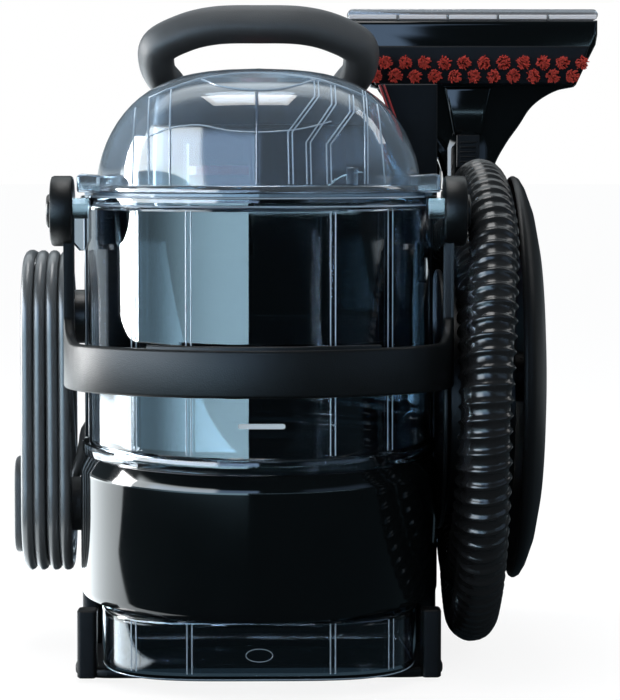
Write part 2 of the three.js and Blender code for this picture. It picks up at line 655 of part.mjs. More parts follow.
function buildLid() {
  const lid = new THREE.Group();
  machine.add(lid);
  const flange = prism(tankPlan(rimWidth - 1, tankRearY), lidBottom, lidFlangeTop);
  const dome = domeSolid(0).subtract(box([-200, 200], [-300, 100], [lidBottom - 10, lidBottom]));
  const spigots = ductPorts.map(
    ({ x, radius }) => rod('y', [x, spigotZ], tankRearY - 4, towerFrontY - fitGap, radius));
  const bores = ductPorts.map(({ x, radius }) => rod('y', [x, spigotZ], tankRearY - 12, 0, radius - wall));
  const ears = [-1, 1].map((side) => {
    const x = side < 0 ? [-bailArmX + 2, -76] : [76, bailArmX - 2];
    return box(x, [pivotY - 10, pivotY + 10], [lidBottom, lidFlangeTop + 6]);
  });
  const room = domeSolid(-wall);
  piece('tank_lid', cut(union(flange, dome, ...spigots, ...ears.map((ear) => ear.subtract(room))), room, ...bores),
    clearBlue, lid);

  const gasketPlan = tankPlan(rimWidth - 2, tankRearY - 1);
  gasketPlan.holes.push(tankPlan(-0.5, tankRearY - 2));
  piece('lid_gasket', prism(gasketPlan, gasketBottom, gasketBottom + gasketHeight), rubber, lid);

  // Float cage, hung from the air spigot, with the red filter at its mouth and the float below
  const cage = turned([[cageRadius - wall, cageBottom], [cageRadius, cageBottom], [cageRadius, cageTop],
    [0, cageTop], [0, cageTop - wall], [cageRadius - wall, cageTop - wall], [cageRadius - wall, cageBottom]],
  airSpigotX, cageY, 16);
  const ledge = turned([
    [cageRadius - wall - 3, cageBottom], [cageRadius - 1, cageBottom], [cageRadius - 1, cageBottom + 2],
    [cageRadius - wall - 3, cageBottom + 2], [cageRadius - wall - 3, cageBottom]], airSpigotX, cageY, 16);
  const neck = rod('y', [airSpigotX, spigotZ], cageY + cageRadius - wall / 2 - 0.7,
    tankRearY - 2 - wall - fitGap, 8);
  const neckBore = rod('y', [airSpigotX, spigotZ], cageY, tankRearY, 8 - wall);
  const slots = [0, 1, 2, 3].map((i) => {
    const slot = new THREE.BoxGeometry(3 * cageRadius, 9, 26).rotateZ((i * Math.PI) / 4);
    return toSolid(slot.translate(airSpigotX, cageY, cageBottom + 22));
  });
  piece('float_cage', cut(union(cage, ledge, neck), neckBore, ...slots), satinBlack, lid);
  const filterLow = cageTop - wall - fitGap - filterThickness;
  const inner = cageRadius - wall - fitGap;
  piece('red_filter', turned([
    [4, filterLow - 12], [inner, filterLow - 12], [inner, filterLow - 12 + filterThickness],
    [4, filterLow - 12 + filterThickness], [4, filterLow - 12]], airSpigotX, cageY, 16), red, lid);
  const floatLow = cageBottom + 2 + fitGap;
  const float = rod('z', [airSpigotX, cageY], floatLow, floatLow + floatHeight, floatRadius);
  piece('float_ball', float, white, lid);
}

// ---- Bail handle ----------------------------------------------------------------------------------------------
function buildBail() {
  const outerX = bailArmX + bailArmThickness;
  const halfPlan = (a, frontY) => {
    const shape = new THREE.Shape();
    shape.absellipse(0, pivotY, a, pivotY - frontY, Math.PI, Math.PI * 2);
    shape.lineTo(a, pivotY + bailArmWidth / 2);
    shape.lineTo(-a, pivotY + bailArmWidth / 2);
    return shape;
  };
  const ring = prism(halfPlan(outerX, hoopFrontY), hoopBottom, hoopBottom + hoopHeight, 0, 10);
  const room = prism(
    halfPlan(bailArmX, hoopFrontY + bailArmThickness), hoopBottom - 1, hoopBottom + hoopHeight + 1, 0, 10)
    .add(box([-bailArmX, bailArmX], [pivotY - 20, pivotY + 40], [hoopBottom - 1, hoopBottom + hoopHeight + 1]));
  const arms = [-1, 1].flatMap((side) => {
    const x = side < 0 ? [-outerX, -bailArmX] : [bailArmX, outerX];
    const boss = side < 0 ? [-bailArmX - bailBossThickness, -bailArmX] : [bailArmX, bailArmX + bailBossThickness];
    return [
      box(x, [pivotY - bailArmWidth / 2, pivotY + bailArmWidth / 2], [hoopBottom, pivotZ]),
      rod('x', [pivotY, pivotZ], boss[0], boss[1], bailBossRadius, 24),
    ];
  });
  const bore = rod('x', [pivotY, pivotZ], -200, 200, pinRadius + fitGap);
  piece('bail_handle', cut(union(ring.subtract(room), ...arms), bore), mattGrey);
}

// ---- Clean tank -------------------------------------------------------------------------------------------------
function buildCleanTank() {
  const tank = new THREE.Group();
  machine.add(tank);
  const plan = (inset) => roundedRect(-cleanHalfWidth + inset, cleanHalfWidth - inset,
    cleanFrontY + inset, cleanRearY - inset, cleanCorner - inset);
  const midY = (cleanFrontY + cleanRearY) / 2;
  const valveY = cleanFrontY + valveInset;
  const neckTop = cleanTop + 6;
  const neck = rod('z', [fillerX, midY], cleanTop - 6, neckTop, fillerRadius);
  const outer = union(prism(plan(0), cleanBottom, cleanTop, 5), neck);
  const room = prism(plan(wall), cleanBottom + wall, cleanTop - wall);
  const grip = cut(
    prism(roundedRect(-14, 60, midY - 9, midY + 9, 6), cleanTop - 4, cleanTop + gripHeight, 3),
    slabXZ(roundedRect(-4, 50, cleanTop - 1, cleanTop + gripHeight - 8, 6), midY - 20, midY + 20));
  const gripFeet = box([-13, 59], [midY - 8, midY + 8], [cleanTop - wall, cleanTop + 1]);
  const mouth = rod('z', [fillerX, midY], cleanTop - 10, neckTop + 1, fillerRadius - wall);
  const valveBore = rod('z', [valveX, valveY], cleanBottom - 1, cleanBottom + wall + 1, valveStemRadius + fitGap);
  piece('clean_tank', cut(union(outer, grip, gripFeet), room, mouth, valveBore), clearBlue, tank);

  const capLow = neckTop + fitGap;
  const cap = union(rod('z', [fillerX, midY], capLow, capLow + 5, fillerRadius + 2),
    rod('z', [fillerX, midY], capLow - 8, capLow + 1, fillerRadius - wall - fitGap));
  piece('clean_tank_cap', cap, satinBlack, tank);

  // Bottom valve: a sprung plunger that the post on the base lifts
  const seatTop = cleanBottom + wall;
  const headLow = seatTop + fitGap;
  const headHigh = headLow + 2;
  piece('valve_plunger', union(
    rod('z', [valveX, valveY], cleanBottom + 0.4 + fitGap, headHigh, valveStemRadius, 16),
    rod('z', [valveX, valveY], headLow, headHigh, 8, 20)), white, tank);
  const cageTopZ = headLow + valveTravel + 20;
  piece('valve_cage', cut(rod('z', [valveX, valveY], headLow, cageTopZ, 12),
    rod('z', [valveX, valveY], headLow - 1, cageTopZ - 2, 9.5),
    box([-20, 20], [valveY - 3, valveY + 3], [headLow + 2, cageTopZ - 8])), white, tank);
  const springLow = headHigh + 1;
  const springHeight = cageTopZ - 3 - springLow;
  const coil = [];
  for (let i = 0; i <= 32; i++) {
    const turn = (i / 8) * 2 * Math.PI;
    coil.push([valveX + 6 * Math.cos(turn), valveY + 6 * Math.sin(turn), springLow + (i / 32) * springHeight]);
  }
  piece('valve_spring', swept(curveThrough(coil), 1.4, 1.4, 32, 2), steel, tank);
}

// ---- Hose and its caddy -------------------------------------------------------------------------------------------

function onCaddy(angle, radius) {
  return [caddyY + radius * Math.cos(rad(angle)), caddyZ + radius * Math.sin(rad(angle))];
}

// The hose's windings: [angle in degrees, radius beyond the inner turns, x beyond the drum's back], joined
// smoothly and read at even steps of the angle.
const windings = [
  [-50, 0, -12.8], [0, 0, -4.8], [60, 0, 7.2], [90, 0, 14.2], [120, 0, 20.2], [180, 0, 20.2], [230, 1, 17.7],
  [270, 3, 17.2], [310, 10, 17.7], [360, 21, 18.2], [400, 28.5, 20.2], [440, 29, 24.2], [490, 29, 26.7],
  [540, 29, 20.2], [600, 29, 19.2], [630, 30.5, 19.7], [650, 36, 20.7], [670, 44, 21.7], [690, 55, 23.2],
];
// from the last winding up into the wand's cuff
const hoseEnd = [
  [wandX - 2.5, 136, 93], [wandX - 1, 145.8, 118], [wandX, wandY, gripBottom - cuffLength - 10],
];

function hosePoints() {
  const points = [];
  const lastAngle = windings[windings.length - 1][0];
  for (let angle = portAngle; angle <= lastAngle; angle += 10) {
    const i = Math.min(windings.findIndex((w) => w[0] > angle), windings.length - 1);
    const high = i < 0 ? windings.length - 1 : i;
    const [a, b] = [windings[high - 1], windings[high]];
    const t = THREE.MathUtils.clamp((angle - a[0]) / (b[0] - a[0]), 0, 1);
    const [y, z] = onCaddy(angle, innerTurnRadius + THREE.MathUtils.lerp(a[1], b[1], t));
    points.push([drumBackX + THREE.MathUtils.lerp(a[2], b[2], t), y, z]);
  }
  return [...points, ...hoseEnd, [wandX, wandY, gripBottom - cuffLength]];
}

const hosePath = curveThrough(hosePoints());

function buildCaddy() {
  piece('flex_hose', swept(hosePath, hoseDiameter, hoseDiameter, 76, 4), satinBlack);

  const drumPlate = rod('x', [caddyY, caddyZ], drumBackX, drumBackX + drumBackThickness, drumBackRadius, 28);
  const core = cut(rod('x', [caddyY, caddyZ], drumBackX, drumEndX, drumRadius, 28),
    rod('x', [caddyY, caddyZ], drumBackX + drumBackThickness, drumEndX + 1, drumRadius - wall, 28));
  const bracketX = [towerHalfWidth + fitGap, drumBackX + 1];
  const bracket = box(bracketX, [towerFrontY + 14, caddyY + 52], [caddyZ + 6, caddyZ + 38]);
  const lowerBracket = box(bracketX, [towerFrontY + 14, caddyY + 22], [caddyZ - 38, caddyZ + 8]);
  const hub = rod('x', [caddyY, caddyZ], drumBackX, drumEndX, 12);
  piece('hose_caddy_drum', union(drumPlate, core, bracket, lowerBracket, hub), satinBlack);

  const half = plateHeight / 2;
  const rimX = drumEndX + fitGap;
  const profile = [[0, plateCrownX], [half * 0.5, plateCrownX - 1.5], [half * 0.85, plateCrownX - 7],
    [half, plateCrownX - 14], [half, rimX + 1], [half - 3, rimX + 1], [half * 0.84, plateCrownX - 11],
    [half * 0.48, plateCrownX - 5], [14, plateCrownX - 4], [14, rimX], [0, rimX]];
  const dish = new THREE.LatheGeometry(profile.map(([r, h]) => new THREE.Vector2(r, h)), 28);
  dish.rotateZ(-Math.PI / 2).scale(1, plateDepth / plateHeight, 1).translate(0, caddyY, plateZ);
  piece('hose_caddy_plate', toSolid(dish), satinBlack);
  piece('caddy_screw', rod('x', [caddyY, plateZ], plateCrownX + fitGap, plateCrownX + fitGap + 1.5, 7, 20), steel);
}

function buildHosePort() {
  const start = hosePath.getPointAt(0);
  const direction = hosePath.getTangentAt(0);
  const cuffEnd = start.clone().addScaledVector(direction, -fitGap);
  const cuffLow = start.clone().addScaledVector(direction, -cuffLength);
  const line = new THREE.LineCurve3(cuffLow, cuffEnd);
  const cuff = swept(line, hoseDiameter + 5, hoseDiameter + 5, 1, 5);
  const stub = rod('x', [cuffLow.y, cuffLow.z], towerHalfWidth + fitGap, cuffLow.x, wetDuctRadius + 2, 20);
  const elbow = toSolid(new THREE.SphereGeometry(hoseDiameter / 2 + 2, 14, 8).translate(...cuffLow.toArray()));
  piece('hose_port', union(cuff, elbow, stub), satinBlack);
}

// ---- Wand and tool ----------------------------------------------------------------------------------------------
function buildWand() {
  const wand = new THREE.Group();
  wand.position.set(wandX, wandY, 0);
  machine.add(wand);
  const bore = 8.5;
  const r = gripRadius;
  piece('wand_cuff', turned([[bore, gripBottom - cuffLength + fitGap], [r, gripBottom - cuffLength + fitGap],
    [r - 1, gripBottom - fitGap], [bore, gripBottom - fitGap], [bore, gripBottom - cuffLength + fitGap]]), rubber, wand);
  const grip = turned([[bore, gripBottom], [r - 2, gripBottom], [r - 3, gripBottom + 35], [r - 1, gripTop - 36],
    [r, gripTop - 14], [r - 1, gripTop], [wandTipRadius, gripTop], [wandTipRadius, wandTop], [bore, wandTop],
    [bore, gripBottom]]);
  const triggerSlot = box([-5.3, 5.3], [-25, -bore - 2], [gripBottom + 38, gripTop - 22]);
  piece('wand_body', cut(grip, triggerSlot), satinBlack, wand);

  const pinZ = gripTop - 30;
  const heelZ = gripBottom + 41;
  const lever = outline([[-bore - 3, pinZ + 6], [-r - 1, pinZ + 5], [-r - 5, pinZ - 8], [-r - 4, heelZ + 3],
    [-r - 1, heelZ], [-bore - 7, heelZ + 2], [-bore - 3, pinZ - 8]]);
  piece('spray_trigger', slabYZ(lever, -5, 5), red, wand);

  const nozzle = union(
    rod('y', [0, gripTop - 8], -r - 8, -r - fitGap, 4, 16),
    rod('y', [0, gripTop - 8], -r - 12, -r - 7, 2.5, 12));
  piece('spray_nozzle', nozzle, white, wand);
}

function buildTool() {
  const tool = new THREE.Group();
  machine.add(tool);
  const left = toolCentreX - toolWidth / 2;
  const right = toolCentreX + toolWidth / 2;
  const back = wandY + toolDepth / 2;
  const front = back - toolDepth;
  const neckHalf = gripRadius;
  const neckLow = gripTop + fitGap;
  const frame = new THREE.Shape();
  frame.moveTo(wandX - neckHalf, neckLow);
  frame.lineTo(wandX + neckHalf, neckLow);
  frame.bezierCurveTo(wandX + neckHalf + 3, 300, wandX + 40, 318, right - 14, toolShoulderZ);
  frame.lineTo(right - 1, 352);
  frame.lineTo(right, toolTop - toolLipHeight);
  frame.lineTo(left, toolTop - toolLipHeight);
  frame.lineTo(left + 1, 352);
  frame.lineTo(left + 14, toolShoulderZ);
  frame.bezierCurveTo(wandX - 40, 318, wandX - neckHalf - 3, 300, wandX - neckHalf, neckLow);
  const socket = rod('z', [wandX, wandY], neckLow - 1, wandTop + fitGap, wandTipRadius + fitGap);
  const throat = rod('z', [wandX, wandY], wandTop, toolShoulderZ + 10, 6);
  const slot = box([left + 4, right - 4], [wandY - 2, wandY + 2], [toolShoulderZ + 4, toolTop]);
  const collar = rod('z', [wandX, wandY], neckLow, 300, gripRadius);
  const latchLow = neckLow + 14;
  const latchBack = wandY - wandTipRadius - 1.3;
  const latchRoom = box([wandX - 7 - fitGap, wandX + 7 + fitGap], [front - 8, latchBack],
    [latchLow - fitGap, latchLow + 20 + fitGap]);
  piece('tool_body', cut(union(slabXZ(frame, front, back), collar), socket, throat, slot, latchRoom), glossBlack, tool);

  const lip = cut(box([left - 0.5, right + 0.5], [front + 4, back - 4], [toolTop - toolLipHeight + fitGap, toolTop]),
    box([left + 4, right - 4], [wandY - 2, wandY + 2], [toolTop - 20, toolTop + 1]));
  piece('tool_window', lip, clearBlue, tool);

  const plateFront = front - toolLipDepth;
  const bristleRows = [toolTop - bristleDrop, toolTop - bristleDrop - bristleRowGap];
  const baseZ = [bristleRows[1] - 8, bristleRows[0] + 8];
  const bristleBase = box([left + 8, right - 8], [plateFront + 2, front - fitGap], baseZ);
  const tufts = [];
  bristleRows.forEach((z, row) => {
    const count = 11;
    for (let i = 0; i < count; i++) {
      const x = toolCentreX + (i - (count - 1) / 2) * bristlePitch - (row * bristlePitch) / 2 + 3;
      tufts.push(rod('y', [x, z], plateFront - bristleLength, plateFront + 3, 2.6, 5, 2.2));
    }
  });
  piece('tool_bristles', union(bristleBase, ...tufts), red, tool);

  piece('tool_latch', box([wandX - 7, wandX + 7], [wandY - neckHalf - 2, latchBack - latchTravel - fitGap],
    [latchLow, latchLow + 20]), satinBlack, tool);
}

// The cradle holds the grip beside the tower; its front edge carries a red accent strip.
function buildCradle() {
  const cradleLow = gripTop - 6 - cradleHeight;
  const plateEnd = wandX - gripRadius - 5.9;
  const shape = outline([[towerHalfWidth + fitGap, cradleLow], [plateEnd, cradleLow], [plateEnd, toolShoulderZ],
    ...cradleEdge.map(([x, z]) => [towerHalfWidth + x, toolShoulderZ - z]),
    [towerHalfWidth + fitGap, cradleLow + cradleHeight + 2]]);
  const plateRear = towerRearY - 2;
  const plate = slabXZ(shape, plateRear - 8, plateRear);
  const high = [cradleLow, cradleLow + cradleHeight];
  const web = union(box([plateEnd - 3, plateEnd], [plateRear - 2, wandY], high),
    box([plateEnd - 3, wandX - gripRadius - 1], [wandY - 6, wandY], high));
  const ring = cut(rod('z', [wandX, wandY], ...high, gripRadius + 4.5, 24),
    rod('z', [wandX, wandY], high[0] - 2, high[1] + 2, gripRadius + fitGap, 24),
    box([wandX - 11, wandX + 60], [wandY - 40, wandY + 6], [high[0] - 2, high[1] + 2]));
  piece('wand_cradle', union(plate, web, ring), satinBlack);
  const stripAt = (shift, drop) => cradleEdge.slice(0, -1)
    .map(([x, z]) => [towerHalfWidth + x + shift, toolShoulderZ - z - drop]);
  const strip = outline([...stripAt(1.2, 0.5), ...stripAt(-1.8, 0.5).reverse()]);
  piece('red_trim', slabXZ(strip, plateRear - 8 - fitGap - 3, plateRear - 8 - fitGap), red);
}

// ---- Cord rack ----------------------------------------------------------------------------------------------------
function buildCordRack() {
  const nearX = -towerHalfWidth - fitGap;
  const base = (z) => rod('x', [rackY, z], nearX - 4, nearX, pegRadius + 6, 24);
  const upper = union(base(rackTopZ), rod('x', [rackY, rackTopZ], hankFarX + 1, nearX, pegRadius, 24));
  piece('cord_hook_upper', upper, satinBlack);
  const paddleX = [hankFarX - fitGap - paddleThickness, hankFarX - fitGap];
  const paddlePlan = roundedRect(
    rackY - 17, rackY + 17, rackBottomZ - paddleHalfHeight, rackBottomZ + paddleHalfHeight, 14);
  const lower = union(base(rackBottomZ), rod('x', [rackY, rackBottomZ], paddleX[0] + 1, nearX, pegRadius, 24),
    slabYZ(paddlePlan, paddleX[0], paddleX[1]));
  piece('cord_hook_lower', lower, satinBlack);

  const stadium = (radius) => {
    const shape = new THREE.Shape();
    shape.absarc(rackY, rackTopZ, radius, 0, Math.PI);
    shape.absarc(rackY, rackBottomZ, radius, Math.PI, Math.PI * 2);
    return shape;
  };
  const hankShape = stadium(hankOuterRadius);
  hankShape.holes.push(stadium(hankInnerRadius));
  piece('cord_hank', slabYZ(hankShape, hankFarX, hankNearX, 8), cordGrey);

  const glandY = rackY + 35;
  const reliefEnd = -towerHalfWidth - reliefLength;
  piece('cord_gland', union(
    rod('x', [glandY, glandZ], reliefEnd, -towerHalfWidth - 3, 4.4, 16, 7.5),
    rod('x', [glandY, glandZ], -towerHalfWidth - 3.5, -towerHalfWidth - fitGap, 9, 20),
    rod('x', [glandY, glandZ], -towerHalfWidth - 2, -towerHalfWidth + wall + 3, 4.7, 16)), rubber);
  piece('power_cord_lead', swept(curveThrough([[reliefEnd - 2 * fitGap, glandY, glandZ], [-92, glandY, glandZ - 0.8],
    [-98, glandY, glandZ - 3.4], [-102, glandY, glandZ - 6.6]]), cordDiameter, cordDiameter, 6, 3), cordGrey);

  const plugTop = 138;
  const plugX = -122;
  const plugY = rackY + hankOuterRadius + 13.5;
  piece('power_cord_tail', swept(curveThrough([
    [-128, rackY + 31, 220.5], [-127.5, rackY + 38.5, 211], [-126.5, rackY + 42.8, 198],
    [-125, rackY + 45.5, 182], [-123, rackY + 49.5, 162],
    [plugX, plugY, plugTop + 6], [plugX, plugY, plugTop + fitGap]]),
  cordDiameter, cordDiameter, 16, 3), cordGrey);
  const plug = turned([
    [0, 72], [5, 72], [11, 76], [12.5, 84], [12, 106], [8, 120], [4.6, 123], [4, plugTop], [0, plugTop]]);
  const pins = [-1, 1].map((side) => rod('z', [side * 6.2, 0], 55, 78, 2.2, 12));
  const plugMesh = piece('mains_plug', union(plug, ...pins), satinBlack);
  plugMesh.position.set(plugX, plugY, 0);
}

buildBase();
buildTower();
buildCarryHandle();
buildSuctionUnit();
buildWetDuct();
buildWaterUnit();
buildDirtyTank();
buildLid();
buildBail();
buildCleanTank();
buildCaddy();
buildHosePort();
buildWand();
buildTool();
buildCradle();
buildCordRack();

// The origin goes to the bottom centre of the machine, measured without its hose and cord.
const loosePieces = ['flex_hose', 'power_cord_lead', 'power_cord_tail', 'cord_hank', 'mains_plug', 'cord_gland'];
const extent = new THREE.Box3();
machine.updateMatrixWorld(true);
machine.traverse((part) => {
  if (part.isMesh && !loosePieces.includes(part.name)) extent.expandByObject(part, true);
});
const centre = extent.getCenter(new THREE.Vector3());
machine.position.set(-centre.x, -centre.y, -extent.min.z);

export default machine;
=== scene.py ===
"""Looks of the portable carpet cleaner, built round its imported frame. Lengths are in millimetres on the dirty
tank's centre line, with the floor at z = 0, and are moved into the frame, in metres, as each mesh is made."""

import bmesh
import bpy
import math
import random
import numpy as np
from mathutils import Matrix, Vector


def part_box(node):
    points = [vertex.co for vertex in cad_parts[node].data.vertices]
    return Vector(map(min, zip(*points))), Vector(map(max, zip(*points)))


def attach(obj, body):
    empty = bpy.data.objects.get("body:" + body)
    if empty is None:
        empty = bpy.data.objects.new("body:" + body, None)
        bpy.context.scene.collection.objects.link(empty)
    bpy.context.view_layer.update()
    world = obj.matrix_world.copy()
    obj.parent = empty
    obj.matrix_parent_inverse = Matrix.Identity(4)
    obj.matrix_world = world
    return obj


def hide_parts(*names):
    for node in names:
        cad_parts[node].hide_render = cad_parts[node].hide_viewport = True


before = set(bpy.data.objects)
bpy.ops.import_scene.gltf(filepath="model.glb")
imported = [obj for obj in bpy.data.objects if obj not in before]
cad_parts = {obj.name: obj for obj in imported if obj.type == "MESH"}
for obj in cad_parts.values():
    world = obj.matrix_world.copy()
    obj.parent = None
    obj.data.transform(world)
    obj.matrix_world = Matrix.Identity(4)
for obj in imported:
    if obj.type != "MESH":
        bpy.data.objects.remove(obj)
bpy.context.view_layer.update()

# ---- Places taken from the frame ----
tank_low, tank_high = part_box("dirty_tank")
TANK_REAR = -14.0
SHIFT = np.array([(tank_low.x + tank_high.x) * 500, tank_high.y * 1000 - TANK_REAR, 0.0])


def placed(points):
    """Points of the drawing, in millimetres, as points of the frame, in metres."""
    return (np.asarray(points, float) + SHIFT) / 1000


def to_frame(*point):
    return Vector(placed([point])[0])


def add_object(name, data):
    obj = bpy.data.objects.new(name, data)
    bpy.context.scene.collection.objects.link(obj)
    return obj


# ---- Camera ----
EYE = (0.0, -1670.0, 278.0)
AIM = (0.01751, 1.0, -0.06353)
camera = add_object("camera", bpy.data.cameras.new("camera"))
camera.location = to_frame(*EYE)
camera.rotation_mode = "QUATERNION"
camera.rotation_quaternion = Vector(AIM).to_track_quat("-Z", "Y")
camera.data.lens = 150.1
camera.data.sensor_width = 36
camera.data.clip_start = 0.05
camera.data.clip_end = 50
bpy.context.scene.camera = camera
bpy.context.scene.view_settings.view_transform = "Standard"


# ---- Shader nodes ----
class Tree:
    """The node tree of a material or a world, with short ways to add to it."""

    def __init__(self, owner):
        owner.use_nodes = True
        self.nodes, self.links = owner.node_tree.nodes, owner.node_tree.links

    def feed(self, socket, value):
        if isinstance(value, bpy.types.NodeSocket):
            self.links.new(value, socket)
        else:
            socket.default_value = value

    def add(self, kind, output, inputs=(), **settings):
        """A new node's named output, or the node itself; inputs are numbers, colours or other outputs."""
        node = self.nodes.new("ShaderNode" + kind)
        for key, value in settings.items():
            setattr(node, key, value)
        for key, value in dict(inputs).items():
            self.feed(node.inputs[key], value)
        return node.outputs[output] if output else node

    def axes(self, vector):
        node = self.add("SeparateXYZ", None, {"Vector": vector})
        return [node.outputs[axis] for axis in "XYZ"]

    def ramp(self, value, low, high):
        """The value, from 0 to 1, as a number from low to high."""
        return self.add("MapRange", "Result", {"Value": value, "To Min": low, "To Max": high})

    def fade(self, value, start, stop, low, high):
        """A smooth change from low to high while the value goes from start to stop."""
        ends = {"Value": value, "From Min": start, "From Max": stop, "To Min": low, "To Max": high}
        return self.add("MapRange", "Result", ends, interpolation_type="SMOOTHSTEP")

    def maths(self, kind, *values):
        """The values taken together, one after another, by a sum, a product or the like."""
        total = values[0]
        for value in values[1:]:
            total = self.add("Math", "Value", {0: total, 1: value}, operation=kind)
        return total

    def product(self, *values):
        return self.maths("MULTIPLY", *values)

    def slanted(self, x, slope, y):
        """Grows across a line that lies askew in plan."""
        return self.maths("ADD", self.product(x, slope), y)

    def glow(self, kind, color, strength=1.0):
        """The shader of an Emission or a Background."""
        return self.add(kind, kind, {"Color": (*color, 1), "Strength": strength})

    def both(self, first, second):
        return self.add("AddShader", "Shader", {0: first, 1: second})

    def mix(self, factor, first, second):
        return self.add("MixShader", "Shader", {"Fac": factor, 1: first, 2: second})


# ---- Materials ----
BUMP_DEPTH = 0.0004


def material(name, color, roughness, grain=(0, 900), vary=(0, 0), vary_scale=40, metallic=0, transmission=0,
             ior=1.46, specular=0.5):
    """Moulded plastic, rubber or metal. grain is a bump's strength and scale; vary is the slow change in
    colour, as a share, and in roughness."""
    mat = bpy.data.materials.new(name)
    tree = Tree(mat)
    sockets = tree.nodes["Principled BSDF"].inputs
    own = {"Base Color": (*color, 1), "Roughness": roughness, "Metallic": metallic, "IOR": ior,
           "Transmission Weight": transmission, "Specular IOR Level": specular}
    for socket, value in own.items():
        sockets[socket].default_value = value
    place = tree.add("TexCoord", "Object")
    slow = tree.add("TexNoise", "Fac", {"Vector": place, "Scale": vary_scale, "Detail": 3})
    tint, rough = vary
    if tint:
        share = {0: color, "Scale": tree.ramp(slow, 1 - tint, 1 + tint)}
        tree.feed(sockets["Base Color"], tree.add("VectorMath", "Vector", share, operation="SCALE"))
    if rough:
        tree.feed(sockets["Roughness"], tree.ramp(slow, max(roughness - rough, 0.01), roughness + rough))
    bump, scale = grain
    if bump:
        fine = tree.add("TexNoise", "Fac", {"Vector": place, "Scale": scale, "Detail": 2})
        relief = {"Strength": bump, "Distance": BUMP_DEPTH, "Height": fine}
        tree.feed(sockets["Normal"], tree.add("Bump", "Normal", relief))
    return mat


BLACK, BLUE_BLACK, SOFT_BLACK = (0.004, 0.005, 0.0055), (0.004, 0.006, 0.008), (0.012, 0.013, 0.014)
GLOSS = material("gloss_black", (0.0025, 0.0035, 0.004), 0.07, (0.01, 60), (0.15, 0.02), specular=0.3)
TOWER = material("tower_black", BLUE_BLACK, 0.12, (0.01, 50), (0.15, 0.02))
FACE = material("tower_face", BLUE_BLACK, 0.5, specular=0.1)
SATIN = material("satin_black", BLACK, 0.36, (0.12, 1400), (0.2, 0.06), specular=0.33)
BAIL = material("bail_black", BLACK, 0.38, (0.3, 1600), (0.18, 0.06), specular=0.21)
LIP = material("lip_smoke", (0.45, 0.48, 0.52), 0.05, transmission=0.8, ior=1.5)
GRIP = material("grained_grey", (0.048, 0.053, 0.057), 0.46, (0.35, 1600), (0.18, 0.08), specular=0.22)
HOSE = material("hose_black", SOFT_BLACK, 0.22, (0.05, 300), (0.25, 0.07), specular=0.32)
RUBBER = material("soft_rubber", SOFT_BLACK, 0.75, (0.3, 900), (0.2, 0))
CORD = material("cord_sheath", (0.092, 0.102, 0.109), 0.30, (0.12, 700), (0.12, 0.08), specular=0.6)
RED = material("red_moulding", (0.30, 0.018, 0.016), 0.3, (0.08, 900), (0.15, 0.05))
BRISTLE = material("red_bristle", (0.52, 0.062, 0.045), 0.55, vary=(0.35, 0), vary_scale=600, specular=0.2)
CLEAR = material("clear_blue", (0.78, 0.88, 0.97), 0.015, (0.01, 20), (0, 0.008), transmission=1, ior=1.5)
DOME = material("lid_blue", (0.70, 0.84, 0.97), 0.03, (0.012, 22), (0, 0.012), transmission=0.93, ior=1.5)
SMOKE = material("clean_tank_blue", (0.62, 0.76, 0.92), 0.05, (0.01, 25), transmission=0.95, ior=1.5)
WHITE = material("white_moulding", (0.42, 0.43, 0.42), 0.4, (0.08, 900), (0.06, 0.06))
SEAL = material("clear_seal", (0.17, 0.27, 0.37), 0.25, vary=(0.05, 0), transmission=0.3, ior=1.45)
MARK = material("pale_print", (0.62, 0.72, 0.78), 0.5, vary=(0.05, 0))
# Painted glint: the pale, half clear lines on the tank and the lid are coloured lighter than the clear plastic
# to stand in for the glints along its ribs, rims and arcs.
RIDGE_GLINT = material("moulded_edge_painted_glint", (0.38, 0.50, 0.62), 0.22, transmission=0.35, ior=1.45, specular=0.8)
RIB = material("moulded_rib", (0.10, 0.14, 0.20), 0.2, transmission=0.3, ior=1.45)
INNER = material("inner_clear", (0.86, 0.92, 0.95), 0.1, transmission=1, ior=1.04)
PALE = material("pale_strip", (0.60, 0.61, 0.64), 0.35, vary=(0.05, 0))
PLATE = material("plate_black", (0.004, 0.0045, 0.005), 0.42, (0.10, 1200), (0.2, 0.05), specular=0.15)
STEEL = material("bare_steel", (0.55, 0.56, 0.57), 0.28, (0.05, 400), (0.08, 0.06), metallic=1)
COPPER = material("motor_copper", (0.48, 0.22, 0.10), 0.35, (0.1, 300), (0.2, 0.08), metallic=1)

# ---- Mesh building ----
ON_AXIS = 0.02
GAP = 0.3


def loft(rings, looped=False):
    """Quads between rings of equal length. The end rings are filled, or joined to each other when looped."""
    n, m = len(rings[0]), len(rings)
    faces = []
    for i in range(m if looped else m - 1):
        a, b = i * n, ((i + 1) % m) * n
        for j in range(n):
            k = (j + 1) % n
            faces.append((a + j, a + k, b + k, b + j))
    if not looped:
        faces += [tuple(reversed(range(n))), tuple(range((m - 1) * n, m * n))]
    return np.concatenate(rings), faces


def joined(*parts):
    verts, faces, start = [], [], 0
    for v, f in parts:
        verts.append(v)
        faces.extend(tuple(i + start for i in face) for face in f)
        start += len(v)
    return np.concatenate(verts), faces


